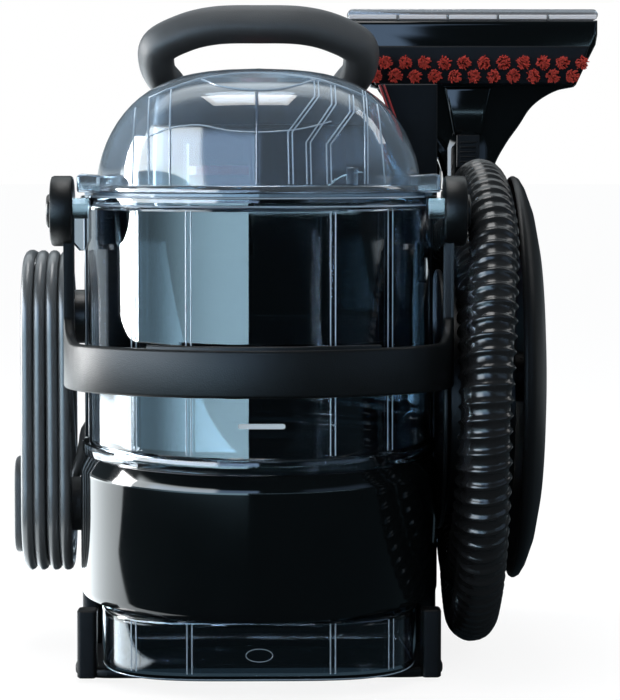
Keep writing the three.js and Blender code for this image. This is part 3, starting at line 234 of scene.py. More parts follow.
def build(name, mesh_data, mat, body, replaces=(), sharp=35, bevel=0):
    """An object that rides on a body; edges sharper than sharp degrees stay crisp."""
    verts, faces = mesh_data
    mesh = bpy.data.meshes.new(name)
    mesh.from_pydata(placed(verts).tolist(), [], faces)
    bm = bmesh.new()
    bm.from_mesh(mesh)
    bmesh.ops.remove_doubles(bm, verts=bm.verts, dist=1e-6)
    bmesh.ops.recalc_face_normals(bm, faces=bm.faces)
    for edge in bm.edges:
        edge.smooth = edge.calc_face_angle(0) < math.radians(sharp)
    for face in bm.faces:
        face.smooth = True
    bm.to_mesh(mesh)
    bm.free()
    mesh.materials.append(mat)
    obj = add_object(name, mesh)
    if bevel:
        edge = obj.modifiers.new("edges", "BEVEL")
        edge.width = bevel / 1000
        edge.segments = 3
        edge.limit_method = "ANGLE"
        edge.angle_limit = math.radians(30)
    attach(obj, body)
    if replaces:
        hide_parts(*([replaces] if isinstance(replaces, str) else replaces))
    return obj


def blend(a, b, low, high, s):
    """What lies between a at low and b at high, read at s."""
    return ((high - s) * a + (s - low) * b) / (high - low)


def catmull(points, step=2.0):
    """A centripetal curve through the points, read at about every step millimetres."""
    p = np.asarray(points, float)
    p = np.vstack([2 * p[0] - p[1], p, 2 * p[-1] - p[-2]])
    out = []
    for i in range(1, len(p) - 2):
        near = p[i - 1:i + 3]
        gaps = np.linalg.norm(np.diff(near, axis=0), axis=1)
        t = np.cumsum([0, *np.maximum(gaps, 1e-6) ** 0.5])
        s = np.linspace(t[1], t[2], max(int(gaps[1] / step), 1), endpoint=False)[:, None]
        a = [blend(near[k], near[k + 1], t[k], t[k + 1], s) for k in range(3)]
        b = [blend(a[k], a[k + 1], t[k], t[k + 2], s) for k in range(2)]
        out.append(blend(*b, t[1], t[2], s))
    return np.vstack(out + [p[-2]])


def even(points, step):
    """The same line at even steps of its length."""
    length = np.concatenate([[0], np.cumsum(np.linalg.norm(np.diff(points, axis=0), axis=1))])
    count = max(int(round(length[-1] / step)), 1)
    at = np.linspace(0, length[-1], count + 1)
    return np.stack([np.interp(at, length, points[:, k]) for k in range(3)], axis=1)


def frames_along(points, up):
    """Two cross directions at each point, carried along without twist."""
    t = np.gradient(points, axis=0)
    t /= np.linalg.norm(t, axis=1)[:, None]
    u = np.cross(t[0], up)
    if np.linalg.norm(u) < 1e-3:
        u = np.cross(t[0], (0, 1, 0))
    us = []
    for direction in t:
        u = u - np.dot(u, direction) * direction
        u /= np.linalg.norm(u)
        us.append(u.copy())
    us = np.array(us)
    return us, np.cross(t, us)


def bearings(sides):
    return np.linspace(0, 2 * math.pi, sides, endpoint=False)


def boxier(value, power):
    """A power that keeps the sign. Below 1 it makes a circle's sine and cosine boxier."""
    return np.sign(value) * np.abs(value) ** power


def bar(points, width, depth, power=1, up=(0, 0, 1), sides=24):
    """A bar along points, round or boxier in section. Width and depth are numbers or one value per point."""
    points = np.asarray(points, float)
    c, s = boxier(np.cos(bearings(sides)), power), boxier(np.sin(bearings(sides)), power)
    half_width, half_depth = np.broadcast_to(width, len(points)) / 2, np.broadcast_to(depth, len(points)) / 2
    return loft([p + np.outer(c, u) * w + np.outer(s, v) * d
                 for p, u, v, w, d in zip(points, *frames_along(points, up), half_width, half_depth)])


def tube(points, radius, sides=24, up=(0, 0, 1)):
    """A round bar along points; radius is a number or one value per point."""
    size = 2 * np.asarray(radius)
    return bar(points, size, size, 1, up, sides)


def turned(profile, centre, axis="z", sides=48, way=1):
    """A profile of [radius, height] turned about an axis through centre, closed on the axis or on itself.
    way is -1 for heights that count down the axis."""
    c, s = np.cos(bearings(sides)), np.sin(bearings(sides))
    order = {"x": (2, 0, 1), "y": (1, 2, 0), "z": (0, 1, 2)}[axis]
    rings = []
    for r, h in profile:
        r = max(r, ON_AXIS)
        columns = (r * c, r * s, np.full(sides, way * h))
        rings.append(np.stack([columns[i] for i in order], 1) + centre)
    return loft(rings)


def lifted(plan, value, axis=2):
    """Flat points given their third coordinate, which is the height unless axis says otherwise."""
    return np.insert(np.asarray(plan, float), axis, value, axis=1)


def slab(outline, low, high, axis=1):
    """A flat outline given a thickness, for use with a bevel."""
    return loft([lifted(outline, value, axis) for value in (low, high)])


def block(x, y, z):
    """A box from [low, high] pairs, for use with a bevel."""
    return slab([(x[0], y[0]), (x[1], y[0]), (x[1], y[1]), (x[0], y[1])], *z, axis=2)


def arc_points(centre, radius, start, stop, steps=10):
    return [(centre[0] + radius * math.cos(a), centre[1] + radius * math.sin(a))
            for a in np.radians(np.linspace(start, stop, steps + 1))]


def rounded(x, y, radius, steps=8):
    """A rounded rectangle's points, counter-clockwise."""
    low, high = (x[0] + radius, y[0] + radius), (x[1] - radius, y[1] - radius)
    corners = ((high[0], low[1]), high, (low[0], high[1]), low)
    return np.array([point for i, corner in enumerate(corners)
                     for point in arc_points(corner, radius, 90 * i - 90, 90 * i, steps)])


def edge_steps(low, high, edge, steps=4):
    """Pairs of [inset, place] that round the low and the high edge of a stack of rings."""
    turns = [math.pi / 2 * i / steps for i in range(steps + 1)]
    top = [(edge * (1 - math.cos(a)), edge * (1 - math.sin(a))) for a in turns]
    bottom = [(inset, low + drop) for inset, drop in reversed(top)]
    return bottom + [(inset, high - drop) for inset, drop in top]


def rounded_stack(x, y, z, corner, edge, steps=4):
    """Rings of a rounded box whose bottom and top edges are rounded as well."""
    rings = []
    for inset, height in edge_steps(*z, edge, steps):
        plan = rounded((x[0] + inset, x[1] - inset), (y[0] + inset, y[1] - inset), max(corner - inset, 1))
        rings.append(lifted(plan, height))
    return rings


def wall_along(plan, section):
    """A section of [outward, height] points, one for all or one per point, along an open plan line."""
    d = np.gradient(plan, axis=0)
    d /= np.linalg.norm(d, axis=1)[:, None]
    section = np.asarray(section, float)
    sections = np.broadcast_to(section, (len(plan), *section.shape[-2:]))
    return loft([np.column_stack([p + s[:, :1] * (dy, -dx), s[:, 1]])
                 for p, (dx, dy), s in zip(plan, d, sections)])


# ---- Cords first: the hose and the mains cord ----
CADDY = (-9.0, 144.5)
HOSE_D, HOSE_PITCH = 28.0, 8.4
VALLEY, CREST, CREST_SHARE = 1.9, 1.8, 0.17
WAND = (129.0, 149.0)
WINDINGS = [
    [-50, 94, 88], [0, 94, 96], [60, 94, 108], [90, 94, 115], [120, 94, 121], [180, 94, 121],
    [230, 95, 118.5], [270, 97, 118], [310, 104, 118.5], [360, 115, 119], [400, 122.5, 121],
    [440, 123, 125], [490, 123, 127.5], [540, 123, 121], [600, 123, 120], [630, 124.5, 120.5],
    [650, 130, 121.5], [670, 138, 122.5], [690, 149, 124],
]
CUFF_LOW = 146.0


def hose_route():
    """Two turns round the caddy, from [bearing, radius, place across], and the rise to the wand."""
    bearing, radius, across = np.array(WINDINGS, float).T
    angle = np.arange(-50, 691, 10)
    r, a = np.interp(angle, bearing, radius), np.radians(angle)
    x = np.interp(angle, bearing, across)
    turns = np.stack([x, CADDY[0] + r * np.cos(a), CADDY[1] + r * np.sin(a)], 1)
    rise = [[126.5, 136, 93], [128, 145.8, 118], [*WAND, CUFF_LOW - 10], [*WAND, CUFF_LOW]]
    return np.vstack([turns, rise])


def corrugated(points, sides=28):
    """The hose with a ridge that winds round it once in every pitch."""
    angle = bearings(sides)
    step = np.linalg.norm(points[1] - points[0])
    rings = []
    for i, (p, u, v) in enumerate(zip(points, *frames_along(points, (1, 0, 0)))):
        phase = (i * step / HOSE_PITCH - angle / (2 * math.pi)) % 1.0
        r = HOSE_D / 2 - VALLEY + CREST * np.exp(-((phase - 0.5) / CREST_SHARE) ** 2)
        rings.append(p + (r * np.cos(angle))[:, None] * u + (r * np.sin(angle))[:, None] * v)
    return loft(rings)


hose_line = even(catmull(hose_route(), 1.0), HOSE_PITCH / 8)
hose = build("corrugated_hose", corrugated(hose_line), HOSE, "base", "flex_hose", sharp=80)

CORD_D, CORD_PITCH = 6.8, 7.0
RACK_Y, RACK_TOP, RACK_BOTTOM = 15.0, 190.5, 82.0
INNER_R, NEAR_X = 17.5, -107.0
GLAND = (-64.0, 50.0, 130.0)
PLUG = (-122.0, 67.0)
LEAD = [(-85.5, 50, 130), (-92, 50, 129.2), (-98, 50, 126.6), (-102, 49, 121.5), (-103, 44, 114),
        (-105, 38.8, 105), (-108.5, 36.3, 95)]
TAIL = [(-130.8, 31, 225), (-128, 46, 219.5), (-127.5, 53.5, 210), (-126.5, 57.8, 198), (-125, 60.5, 182),
        (-123, 64.5, 162), (*PLUG, 146), (*PLUG, 138.2)]


def stadium_point(s, r):
    """A point of a loop: down the rear, round the lower peg, up the front and over the upper peg."""
    run, arc = RACK_TOP - RACK_BOTTOM, math.pi * r
    d = (s * 2 * (run + arc) + 0.98 * run) % (2 * (run + arc))
    if d < run:
        return RACK_Y + r, RACK_TOP - d
    if d < run + arc:
        a = -(d - run) / r
        return RACK_Y + r * math.cos(a), RACK_BOTTOM + r * math.sin(a)
    if d < 2 * run + arc:
        return RACK_Y - r, RACK_BOTTOM + d - run - arc
    a = math.pi - (d - 2 * run - arc) / r
    return RACK_Y + r * math.cos(a), RACK_TOP + r * math.sin(a)


def cord_route():
    """The lead, twelve turns laid in three layers over the pegs, and the tail down to the plug."""
    across = list(range(4))
    order = [(c, 0) for c in across] + [(c, 1) for c in reversed(across)] + [(c, 2) for c in across]
    loops = [(NEAR_X - CORD_PITCH * (c + 0.5), INNER_R + CORD_PITCH * (k + 0.5)) for c, k in order]
    steps, last = 30, len(loops) - 1
    draw = random.Random(11)
    points = list(LEAD)
    for i, (x, r) in enumerate(loops):
        next_x, next_r = loops[min(i + 1, last)]
        lean = draw.uniform(-0.5, 0.5)
        for j in range(steps):
            s = j / steps
            if i == last and s > 0.6:
                break
            t = max(0.0, (s - 0.62) / 0.38)
            t = t * t * (3 - 2 * t)
            y, z = stadium_point(s, r + (next_r - r) * t)
            points.append((x + (next_x - x) * t + lean * math.sin(2 * math.pi * s), y, z))
    return np.array(points + TAIL, float)


def cord_curve(name, points, diameter, mat, body):
    data = bpy.data.curves.new(name, "CURVE")
    data.dimensions = "3D"
    data.bevel_depth = diameter / 2000
    data.bevel_resolution = 4
    data.use_fill_caps = True
    line = data.splines.new("POLY")
    line.points.add(len(points) - 1)
    for spot, p in zip(line.points, placed(points)):
        spot.co = (*p, 1)
    line.use_smooth = True
    data.materials.append(mat)
    obj = add_object(name, data)
    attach(obj, body)
    return obj


def line_length(points):
    return float(np.sum(np.linalg.norm(np.diff(points, axis=0), axis=1))) / 1000


cord_line = even(catmull(cord_route(), 2.0), 4.0)
cord = cord_curve("mains_cord", cord_line, CORD_D, CORD, "base")
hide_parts("power_cord_lead", "power_cord_tail", "cord_hank")
print("hose length", round(line_length(hose_line), 3), "cord length", round(line_length(cord_line), 3))

# ---- Plug and gland ----
PLUG_SHAPE = [(0, 72), (5, 72), (9.5, 73.6), (11.4, 77), (12.4, 84), (12.4, 92), (11.6, 104), (10.2, 112),
              (8.2, 119), (5.2, 123), (4.9, 126), (5.6, 126.6), (4.8, 127.4), (4.7, 129.6), (5.3, 130.2),
              (4.5, 131), (4.4, 133.2), (4.9, 133.8), (4.2, 134.6), (4.1, 137.6), (0, 138)]
PIN_SHAPE = [(0, 55), (1.4, 55.3), (2.2, 57), (2.2, 74), (0, 74)]
GLAND_SHAPE = [(0, -86.8), (3.6, -86.8), (4.6, -86), (4.9, -84), (4.2, -83.2), (4.4, -82), (5.2, -80.6),
               (5.3, -79), (4.7, -78.2), (4.9, -77), (5.8, -75.6), (6, -73.6), (5.3, -72.8), (5.6, -71.6),
               (6.8, -70), (7.2, -67.6), (9, -67.4), (9, -64.4), (0, -64.4)]
pins = [turned(PIN_SHAPE, (PLUG[0] + x, PLUG[1], 0), sides=20) for x in (-6.2, 6.2)]
plug_body = joined(turned(PLUG_SHAPE, (*PLUG, 0)), *pins)
plug = build("plug", plug_body, RUBBER, "base", "mains_plug")
gland = build("gland", turned(GLAND_SHAPE, (0, *GLAND[1:]), "x"), RUBBER, "base", "cord_gland")

to_frame(*hose_line[0])
placed(hose_line[::4]).tolist()
to_frame(-86.5, *GLAND[1:])

# ---- Dirty tank ----
TANK_A, TANK_FRONT, SIDE_Y, TANK_CORNER = 95.3, -167.0, -36.0, 14.0
TANK_B = SIDE_Y - TANK_FRONT
ARC = 160
RIBS = (-66.0, -36.5, 38.5, 69.5)
EAR_X, PIVOT = 99.7, (-92.0, 253.0)
PLINTH_TOP = 39.0
FOOT_OUTSIDE = [(7.8, 14), (7.8, 12.4), (8.2, 10.8), (9.2, 9.4), (10.6, 8.8), (12, 8.8), (24, 8.8), (38, 8.8),
                (39, 8.8), (39.7, 9.1), (40, 10), (40, 12)]
FOOT_INSIDE = [(37.6, 13.2), (37.2, 11.8), (36.4, 11.2), (35, 11.2), (24, 11.2), (13.6, 11.2), (12.4, 11.2),
               (10.8, 12.4), (10.2, 15)]
OUTSIDE = [(40, -4.5), (40, -2.5), (40.2, -0.6), (41, 0), (42.2, 0), (60, 0), (90, 0), (116, 0), (117, 0),
           (117.8, 0.8), (118.3, 2.4), (118.9, 3.2), (120, 3.4), (123.2, 3.4), (124.4, 3.1), (125, 2.2),
           (125.4, 0.8), (126.2, 0), (127.4, 0), (150, 0), (180, 0), (210, 0), (240, 0), (252.6, 0),
           (253.6, 0), (254.6, 0.8), (255, 2.6), (255.6, 3.7), (256.4, 4), (260, 4), (260.7, 3.7), (261, 3)]
INSIDE = [(261, -1.6), (260.4, -2.3), *[(z, -2.4) for z in (258, 257, 240, 210, 180, 150, 129.2, 128)],
          (126, -2.2), (123, -0.6), (120.6, -0.6), (118, -2.2), *[(z, -2.4) for z in (116, 90, 60, 44)],
          (42.6, -3.4), (42.2, -5.4), (42, -8.8), (41.4, -10.6), (40, -11.2), (38, -11.6)]


def front_arc(a, b, mid=SIDE_Y, count=ARC, power=1, span=(1, 2)):
    """The front half of an ellipse, or of a boxier curve, from left to right; span is in half turns."""
    angle = np.linspace(span[0] * math.pi, span[1] * math.pi, count + 1)
    return np.stack([a * boxier(np.cos(angle), power), mid + b * boxier(np.sin(angle), power)], 1)


def rear_line(half, mid, rear, r, across=()):
    """The rest of a plan that a front arc begins: straight sides and a rear with rounded corners."""
    run = rear - r - mid
    corner = arc_points((half - r, rear - r), r, 0, 90, 7)
    line = [(half, mid + run * t) for t in (0.33, 0.66)] + corner
    line += [((half - r) * (1 - 2 * t), rear) for t in across] + [(-x, y) for x, y in reversed(corner)]
    return line + [(-half, mid + run * t) for t in (0.67, 0.34)]


def tank_plan(grow):
    """The tank's plan: half an ellipse in front, straight sides and rounded rear corners."""
    rear = TANK_REAR + min(grow, 0)
    r = max(min(TANK_CORNER + grow, rear - SIDE_Y - 1), 0.5)
    line = rear_line(TANK_A + grow, SIDE_Y, rear, r, (0.2, 0.4, 0.6, 0.8))
    return np.vstack([front_arc(TANK_A + grow, TANK_B + grow), line])


def foot_plan(inset):
    """The plan of the tank's narrower and boxier foot."""
    return np.vstack([front_arc(TANK_A - inset, TANK_B - inset, power=0.5), tank_plan(-inset)[ARC + 1:]])


def tank_front_y(x, grow=0.0):
    return SIDE_Y - (TANK_B + grow) * math.sqrt(max(1 - (x / (TANK_A + grow)) ** 2, 0))


def foot_front_y(x, inset):
    return SIDE_Y - (TANK_B - inset) * (1 - (abs(x) / (TANK_A - inset)) ** 4) ** 0.25


def ridge(x, low, high, y):
    """A fine upright ridge."""
    return tube([(x, y, z) for z in np.linspace(low, high, 6)], 0.42, 8)


def front_edge(plan, z, reach, radius):
    """A fine line along the front of a plan."""
    return tube([(x, y, z) for x, y in plan if abs(x) < reach and y < SIDE_Y], radius, 8)


def ear(side):
    """A gusset on the rim, narrowing downwards, that carries the bail's pin."""
    outline = [(91, 260), (91, 238), (93.5, 232), (EAR_X - 3.5, 232), (EAR_X, 236), (EAR_X, 260)]
    return slab([(side * x, z) for x, z in outline], PIVOT[0] - 12, PIVOT[0] + 12)


rib_edges = [x + shift for x in RIBS for shift in (-1.3, 1.3)]
drain_mark = [(7 * math.cos(a), tank_front_y(0, -8.8), 22 + 3.4 * math.sin(a))
              for a in np.linspace(0, 2 * math.pi, 41)]
# Painted glints: thin pale tubes along each rib's two edges, on the rim and along the foot's front, whose light
# colour stands in for where the clear walls glint. The drain mark's ring shares the pale material.
ridges = [ridge(x, 126.5, 254, tank_front_y(x, -0.1)) for x in rib_edges]
ridges += [ridge(x, 12, PLINTH_TOP - 0.5, foot_front_y(x, 8.9)) for x in rib_edges]
ridges += [front_edge(tank_plan(3.9), 260.6, 90, 0.45), front_edge(tank_plan(4.1), 256.2, 90, 0.45),
           front_edge(foot_plan(9.7), 9.1, 86, 0.5), tube(drain_mark, 0.22, 8, (0, 1, 0))]
tank_shell = loft([lifted(foot_plan(inset), z) for z, inset in FOOT_OUTSIDE]
                  + [lifted(tank_plan(grow), z) for z, grow in OUTSIDE + INSIDE]
                  + [lifted(foot_plan(inset), z) for z, inset in FOOT_INSIDE])
build("tank_shell", joined(tank_shell, ear(-1), ear(1)), CLEAR, "dirty_tank", "dirty_tank")
build("tank_ridges_painted_glint", joined(*ridges), RIDGE_GLINT, "dirty_tank")
level_bar = slab(rounded((-10.8, 13.6), (141.6, 144.2), 1.2, 4), TANK_FRONT - 0.9, TANK_FRONT + 0.4)
build("level_bar", level_bar, MARK, "dirty_tank")

# ---- Band round the tank ----
BAND = [(0.3, 41), (1.2, 40.5), (2.6, 40.5), (3.9, 41.2), (4.4, 42.6), (4.5, 44.5), (4.5, 46), (4.5, 78),
        (4.5, 107.6), (4.5, 108.6), (4.3, 110.2), (3.6, 112), (1.9, 116.4), (1.2, 117.6), (0.3, 117.6)]
build("front_band", wall_along(front_arc(TANK_A, TANK_B, count=180), BAND), GLOSS, "dirty_tank", "tank_band",
      sharp=28)

# ---- Lid ----
LID_LOW, FLANGE_TOP, LID_TOP, LID_WALL, LID_CORNER = 263.1, 267.1, 330.0, 2.4, 14.0
LID_FOOT = FLANGE_TOP + 0.7
LID_ARC = 120
TOWER_FACE = -10.5
FLANGE = [(LID_LOW, -6), (LID_LOW, 2.2), (LID_LOW + 0.6, 3), (FLANGE_TOP - 0.8, 3), (FLANGE_TOP, 2.2)]
RISE = (0, 0.04, 0.1, 0.18, 0.27, 0.36, 0.45, 0.54, 0.62, 0.69, 0.75, 0.81, 0.86, 0.9, 0.935, 0.96, 0.98,
        0.993, 1)
DOME_HALF, DOME_FRONT, DOME_REAR = 89.3, -161.0, -16.0
CHANNELS = [[(30.3, 322), (30.3, 313.5), (16.2, 294.7), (16.7, LID_FOOT)],
            [(39.1, 319.5), (39.1, 309.3), (25.6, 289.5), (26.1, LID_FOOT)],
            [(48.6, 314.5), (48.6, 305.2), (36.1, 288.5), (36.6, LID_FOOT)]]
SIDE_LINES = [(-66.5, 0.8, 308), (-57.5, -0.6, 314), (-46.2, 0, 317.5), (55.4, 0, 317.5), (57, 0, 317),
              (66.5, -3.5, 310)]
INNER_FLOOR = [(-56.9, 293.1), (-44.4, 297.3), (-30.8, 298.4), (-16.7, 295.7), (-2.6, 294.7), (16.2, 295.7),
               (28.2, 297.8), (37.6, 300.4)]
CROWN_LOW = [(-30.3, 323.2), (-20.8, 319.2), (-2.7, 317), (11.7, 317.6), (20.8, 319.8), (29.8, 323)]
CROWN_HIGH = [(-58, 313.6), (-46, 318.4), (-28, 324), (0, 327), (28, 324), (46, 318.4), (57, 314)]


def lid_ring(z, inset=0.0):
    """The dome's plan at a height; inset gives its inner face."""
    t = min(max((z - FLANGE_TOP) / (LID_TOP - FLANGE_TOP), 0), 1)
    half = DOME_HALF * max(1 - t ** 1.7, 0) ** 0.33 + 0.5 - inset
    front = DOME_FRONT + 5 * t + 74 * t ** 7 + inset
    rear = DOME_REAR - 14 * t ** 8 - inset
    mid = SIDE_Y - 10 * t
    arc = front_arc(half, mid - front, mid, LID_ARC, 0.86 - 0.2 * t)
    return lifted(np.vstack([arc, rear_line(half, mid, rear, min(LID_CORNER, half * 0.5))]), z)


def flange_ring(z, grow):
    """The flange has the dome's point count, so that it lofts into the dome."""
    arc = front_arc(TANK_A + grow, TANK_B + grow, count=LID_ARC)
    return lifted(np.vstack([arc, rear_line(TANK_A + grow, SIDE_Y, TANK_REAR, LID_CORNER)]), z)


def lid_front_y(x, z):
    """The dome's front surface at a place across and a height."""
    ring = lid_ring(z)[:LID_ARC + 1]
    return float(np.interp(x, ring[:, 0], ring[:, 1]))


def lid_line(points, radius=0.5):
    """A moulded line drawn on the dome's front through points of [across, height]."""
    return tube([(x, lid_front_y(x, z) - 0.2, z) for x, z in points], radius, 8, (0, 1, 0))


def bent(points):
    """The straight runs between the points."""
    runs = [np.linspace(a, b, 12, endpoint=False) for a, b in zip(points, points[1:])]
    return np.vstack(runs + [points[-1]])


heights = [FLANGE_TOP + (LID_TOP - FLANGE_TOP) * t for t in RISE]
outer_rings = [flange_ring(z, grow) for z, grow in FLANGE] + [lid_ring(z) for z in heights]
inner_rings = [lid_ring(min(z, LID_TOP - LID_WALL), LID_WALL) for z in heights[::-1] + [LID_LOW]]
# Painted glints: thin pale tubes along the dome's channels, side lines and arcs, whose light colour stands in
# for where the clear dome glints.
lines = [lid_line(bent([(x + shift, z) for x, z in channel]), 0.45)
         for channel in CHANNELS for shift in (-1.1, 1.1)]
lines += [lid_line(bent([(x, LID_FOOT), (x + lean, top)]), 0.45) for x, lean, top in SIDE_LINES]
lines += [lid_line(catmull(INNER_FLOOR), 0.4), lid_line(catmull(CROWN_LOW)), lid_line(catmull(CROWN_HIGH))]
build("lid_lines_painted_glint", joined(*lines), RIDGE_GLINT, "lid")
build("lid_centre_rib", lid_line(bent([(-1, LID_FOOT), (-1, 315.5)]), 0.8), RIB, "lid")
tab_y = lid_front_y(48, 272)
tab = block((45.2, 51.5), (tab_y - 1.6, tab_y + 1), (LID_FOOT, 276.4))
build("lid_tab", tab, DOME, "lid", bevel=0.5)
build("lid_shell", loft(inner_rings + outer_rings), DOME, "lid", "tank_lid", sharp=50)
spigots = []
for x, r in ((-22, 14), (30, 11)):
    low, high, bore = TANK_REAR - 4, TOWER_FACE - GAP, r - LID_WALL
    profile = [(0, low), (r, low), (r, high), (bore, high), (bore, low + 2), (0, low + 2)]
    spigots.append(turned(profile, (x, 0, 283), "y"))
build("lid_spigots", joined(*spigots), DOME, "lid")
LID_EAR = [(80, 0), (97.6, 0), (97.6, 9), (95, 10), (80, 9)]
for side, name in ((-1, "left"), (1, "right")):
    lid_ear = slab([(side * x, LID_LOW + z) for x, z in LID_EAR], PIVOT[0] - 10, PIVOT[0] + 10)
    build(f"lid_ear_{name}", lid_ear, DOME, "lid", bevel=1.2)

# ---- Bail handle ----
ARM_X, ARM_T, BOSS_R, BOSS_T = 100.0, 5.5, 19.0, 12.0
HOOP_LOW, HOOP_HIGH, HOOP_FRONT = 158.0, 183.0, -178.0
HOOP_B = PIVOT[0] - (HOOP_FRONT + ARM_T)
BAIL_CAP = [(0, 0.1), (8.4, 0.1), (9, 0.6), (9, 1.6), (8.2, 2.3), (3.4, 2.3), (3, 1.5), (0, 1.5)]


def bail_section(y):
    """The bail's section by its place behind the pivot: tall on the arms, lower round the hoop."""
    if y > -8:
        low = HOOP_LOW + 10 * (1 - math.sqrt(max(1 - (max(y + 2, 0) / 10) ** 2, 0)))
        high = PIVOT[1]
    else:
        low = HOOP_LOW
        high = HOOP_HIGH + 14 * (1 - min((-8 - y) / 22, 1)) ** 2.5
    return rounded((0, ARM_T), (low, high), 1.7, 3)


def bail_wall():
    """One wall along a U: the arms hang from the bosses and the hoop runs round the front."""
    tail = np.linspace(PIVOT[0] + 8, PIVOT[0], 9)[:-1]
    plan = np.vstack([[(-ARM_X, y) for y in tail], front_arc(ARM_X, HOOP_B, PIVOT[0], 180),
                      [(ARM_X, y) for y in reversed(tail)]])
    return wall_along(plan, [bail_section(y - PIVOT[0]) for _, y in plan])


def boss(side):
    """A round boss with a stepped cover on its outer face."""
    r, t = BOSS_R, BOSS_T
    profile = [(0, 0), (r - 1.6, 0), (r - 0.5, 0.5), (r, 1.6), (r, t - 1.8), (r - 0.6, t - 0.5), (r - 2, t),
               (r - 4.6, t), (r - 4.9, t - 0.9), (r - 5.6, t - 0.9), (r - 5.9, t), (0, t)]
    return turned(profile, (side * ARM_X, *PIVOT), "x", 64, side)


def label_strip():
    """A bare raised strip on the hoop's upper edge."""
    plan = front_arc(ARM_X + 0.9, HOOP_B + 0.9, PIVOT[0], 59, span=(1.31, 1.71))
    section = [(0.2, -0.5), (3.6, -0.5), (3.4, 1.2), (2.9, 1.7), (0.8, 1.7), (0.3, 1.2)]
    return wall_along(plan, [(out, HOOP_HIGH + z) for out, z in section])


build("bail", joined(bail_wall(), boss(-1), boss(1), label_strip()), BAIL, "bail", "bail_handle")
for side, name in ((-1, "left"), (1, "right")):
    face = ARM_X + BOSS_T
    cap = turned(BAIL_CAP, (side * face, *PIVOT), "x", 40, side)
    shank = turned([(0, 92), (4, 92), (4, face + GAP), (0, face + GAP)], (0, *PIVOT), "x", 24, side)
    build(f"bail_cap_{name}", joined(cap, shank), SATIN, "dirty_tank", f"bail_pin_{name}")

# ---- Tower, cap and carry handle ----
TOWER_X, TOWER_FRONT, TOWER_BACK, SPLIT = 64.0, TOWER_FACE, 85.5, 37.5
TOWER_LOW, TOWER_TOP, CAP_LOW, CAP_TOP, CAP_EDGE = 39.3, 300.0, 300.3, 318.3, 7.0
WALL, CORNER = 2.4, 16.0
BUTTON_Y, BUTTON_R, BUTTON_TOP = 34.0, 11.0, CAP_TOP + 3
FACE_X, FACE_Z = TANK_A + 3.7, (41.0, 255.0)
SHELL = [(0, TOWER_LOW + 0.6), (-0.6, TOWER_LOW), (-WALL, TOWER_LOW), (-WALL, TOWER_TOP), (-0.6, TOWER_TOP),
         (0, TOWER_TOP - 0.6)]
HANDLE_FOOT, HANDLE_LEAN, HANDLE_RISE = (50.0, 66.0, 318.6), 42.5, 40.2
HANDLE_SHAPE = [(1, 0, 0), (1.06, 0.09, 0.15), (1.18, 0.52, 0.38), (1.16, 0.82, 0.68), (0.86, 0.94, 0.88),
                (0.52, 0.99, 0.98)]


def shell_plan(side):
    """Plan line of the tower's front (-1) or rear (1) half, from split line to split line."""
    end, start = (TOWER_FRONT, 180) if side < 0 else (TOWER_BACK, 0)
    x, y, edge = TOWER_X - CORNER, end - side * CORNER, SPLIT + 0.2 * side
    line = [(side * TOWER_X, edge), (side * TOWER_X, y - side)]
    line += arc_points((side * x, y), CORNER, start, start + 90)
    line += [(side * (x - 1), end), (side * (1 - x), end)]
    line += arc_points((-side * x, y), CORNER, start + 90, start + 180)
    return np.array(line + [(-side * TOWER_X, y - side), (-side * TOWER_X, edge)])


def matched_circle(plan, centre, radius, z):
    """A ring whose points have the same bearings from the centre as the plan's points."""
    away = plan - np.asarray(centre)
    return lifted(np.asarray(centre) + radius * away / np.linalg.norm(away, axis=1)[:, None], z)


def cap_rings():
    """Up the side, over the rounded edge, and down into the button's well."""
    rings = [(CAP_LOW, 0.8), (CAP_LOW + 0.5, 0.1), (CAP_LOW + 1.2, 0), (CAP_TOP - CAP_EDGE, 0)]
    rings += [(CAP_TOP - CAP_EDGE * (1 - math.sin(a)), CAP_EDGE * (1 - math.cos(a)))
              for a in np.radians(range(15, 91, 15))]
    plans = [lifted(rounded((inset - TOWER_X, TOWER_X - inset), (TOWER_FRONT + inset, TOWER_BACK - inset),
                            CORNER - inset), z) for z, inset in rings]
    well = [(0, 3.4), (0.8, 2.8), (0.8, 0.9), (0.3, 0.4), (-8.65, 0.4)]
    top = plans[-1][:, :2]
    return plans + [matched_circle(top, (0, BUTTON_Y), BUTTON_R + gap, CAP_TOP + z) for z, gap in well]


def carry_handle():
    """An arch that leans forward and swells where it meets the cap."""
    shape = HANDLE_SHAPE + [(0, 1, 1)] + [(-s, lean, up) for s, lean, up in reversed(HANDLE_SHAPE)]
    x, y, z = HANDLE_FOOT
    arch = catmull([(s * x, y - lean * HANDLE_LEAN, z + up * HANDLE_RISE) for s, lean, up in shape])
    share = np.linspace(0, 1, len(arch))
    swell = 1 + 0.10 * np.exp(-(np.minimum(share, 1 - share) / 0.035) ** 2)
    return bar(arch, 19.5 * swell, 20.5 * swell, 0.7, (0, 1, 0), 36)


face_plate = loft(rounded_stack((-FACE_X, FACE_X), (TOWER_FRONT - 2.1, TOWER_FRONT + 1), FACE_Z, 1, 0.6, 3))
tower_front = build("tower_front", joined(wall_along(shell_plan(-1), SHELL), face_plate), TOWER, "base",
                    "tower_front_shell")
tower_front.data.materials.append(FACE)
for polygon in tower_front.data.polygons:
    if polygon.normal.y < -0.99:
        polygon.material_index = 1
build("tower_rear", wall_along(shell_plan(1), SHELL), SATIN, "base", "tower_rear_shell")
build("tower_cap_moulding", loft(cap_rings()), SATIN, "base", "tower_cap")
button = turned([(0, -9), (BUTTON_R - 0.6, -9), (BUTTON_R, -8.4), (BUTTON_R, -1.2), (BUTTON_R - 0.4, -0.4),
                 (BUTTON_R - 1.4, 0), (BUTTON_R - 3.6, -0.5), (0, -1.1)], (0, BUTTON_Y, BUTTON_TOP), sides=56)
build("button", button, RED, "button", "power_button")
build("carry_handle_arch", carry_handle(), GRIP, "base", "carry_handle", sharp=50)

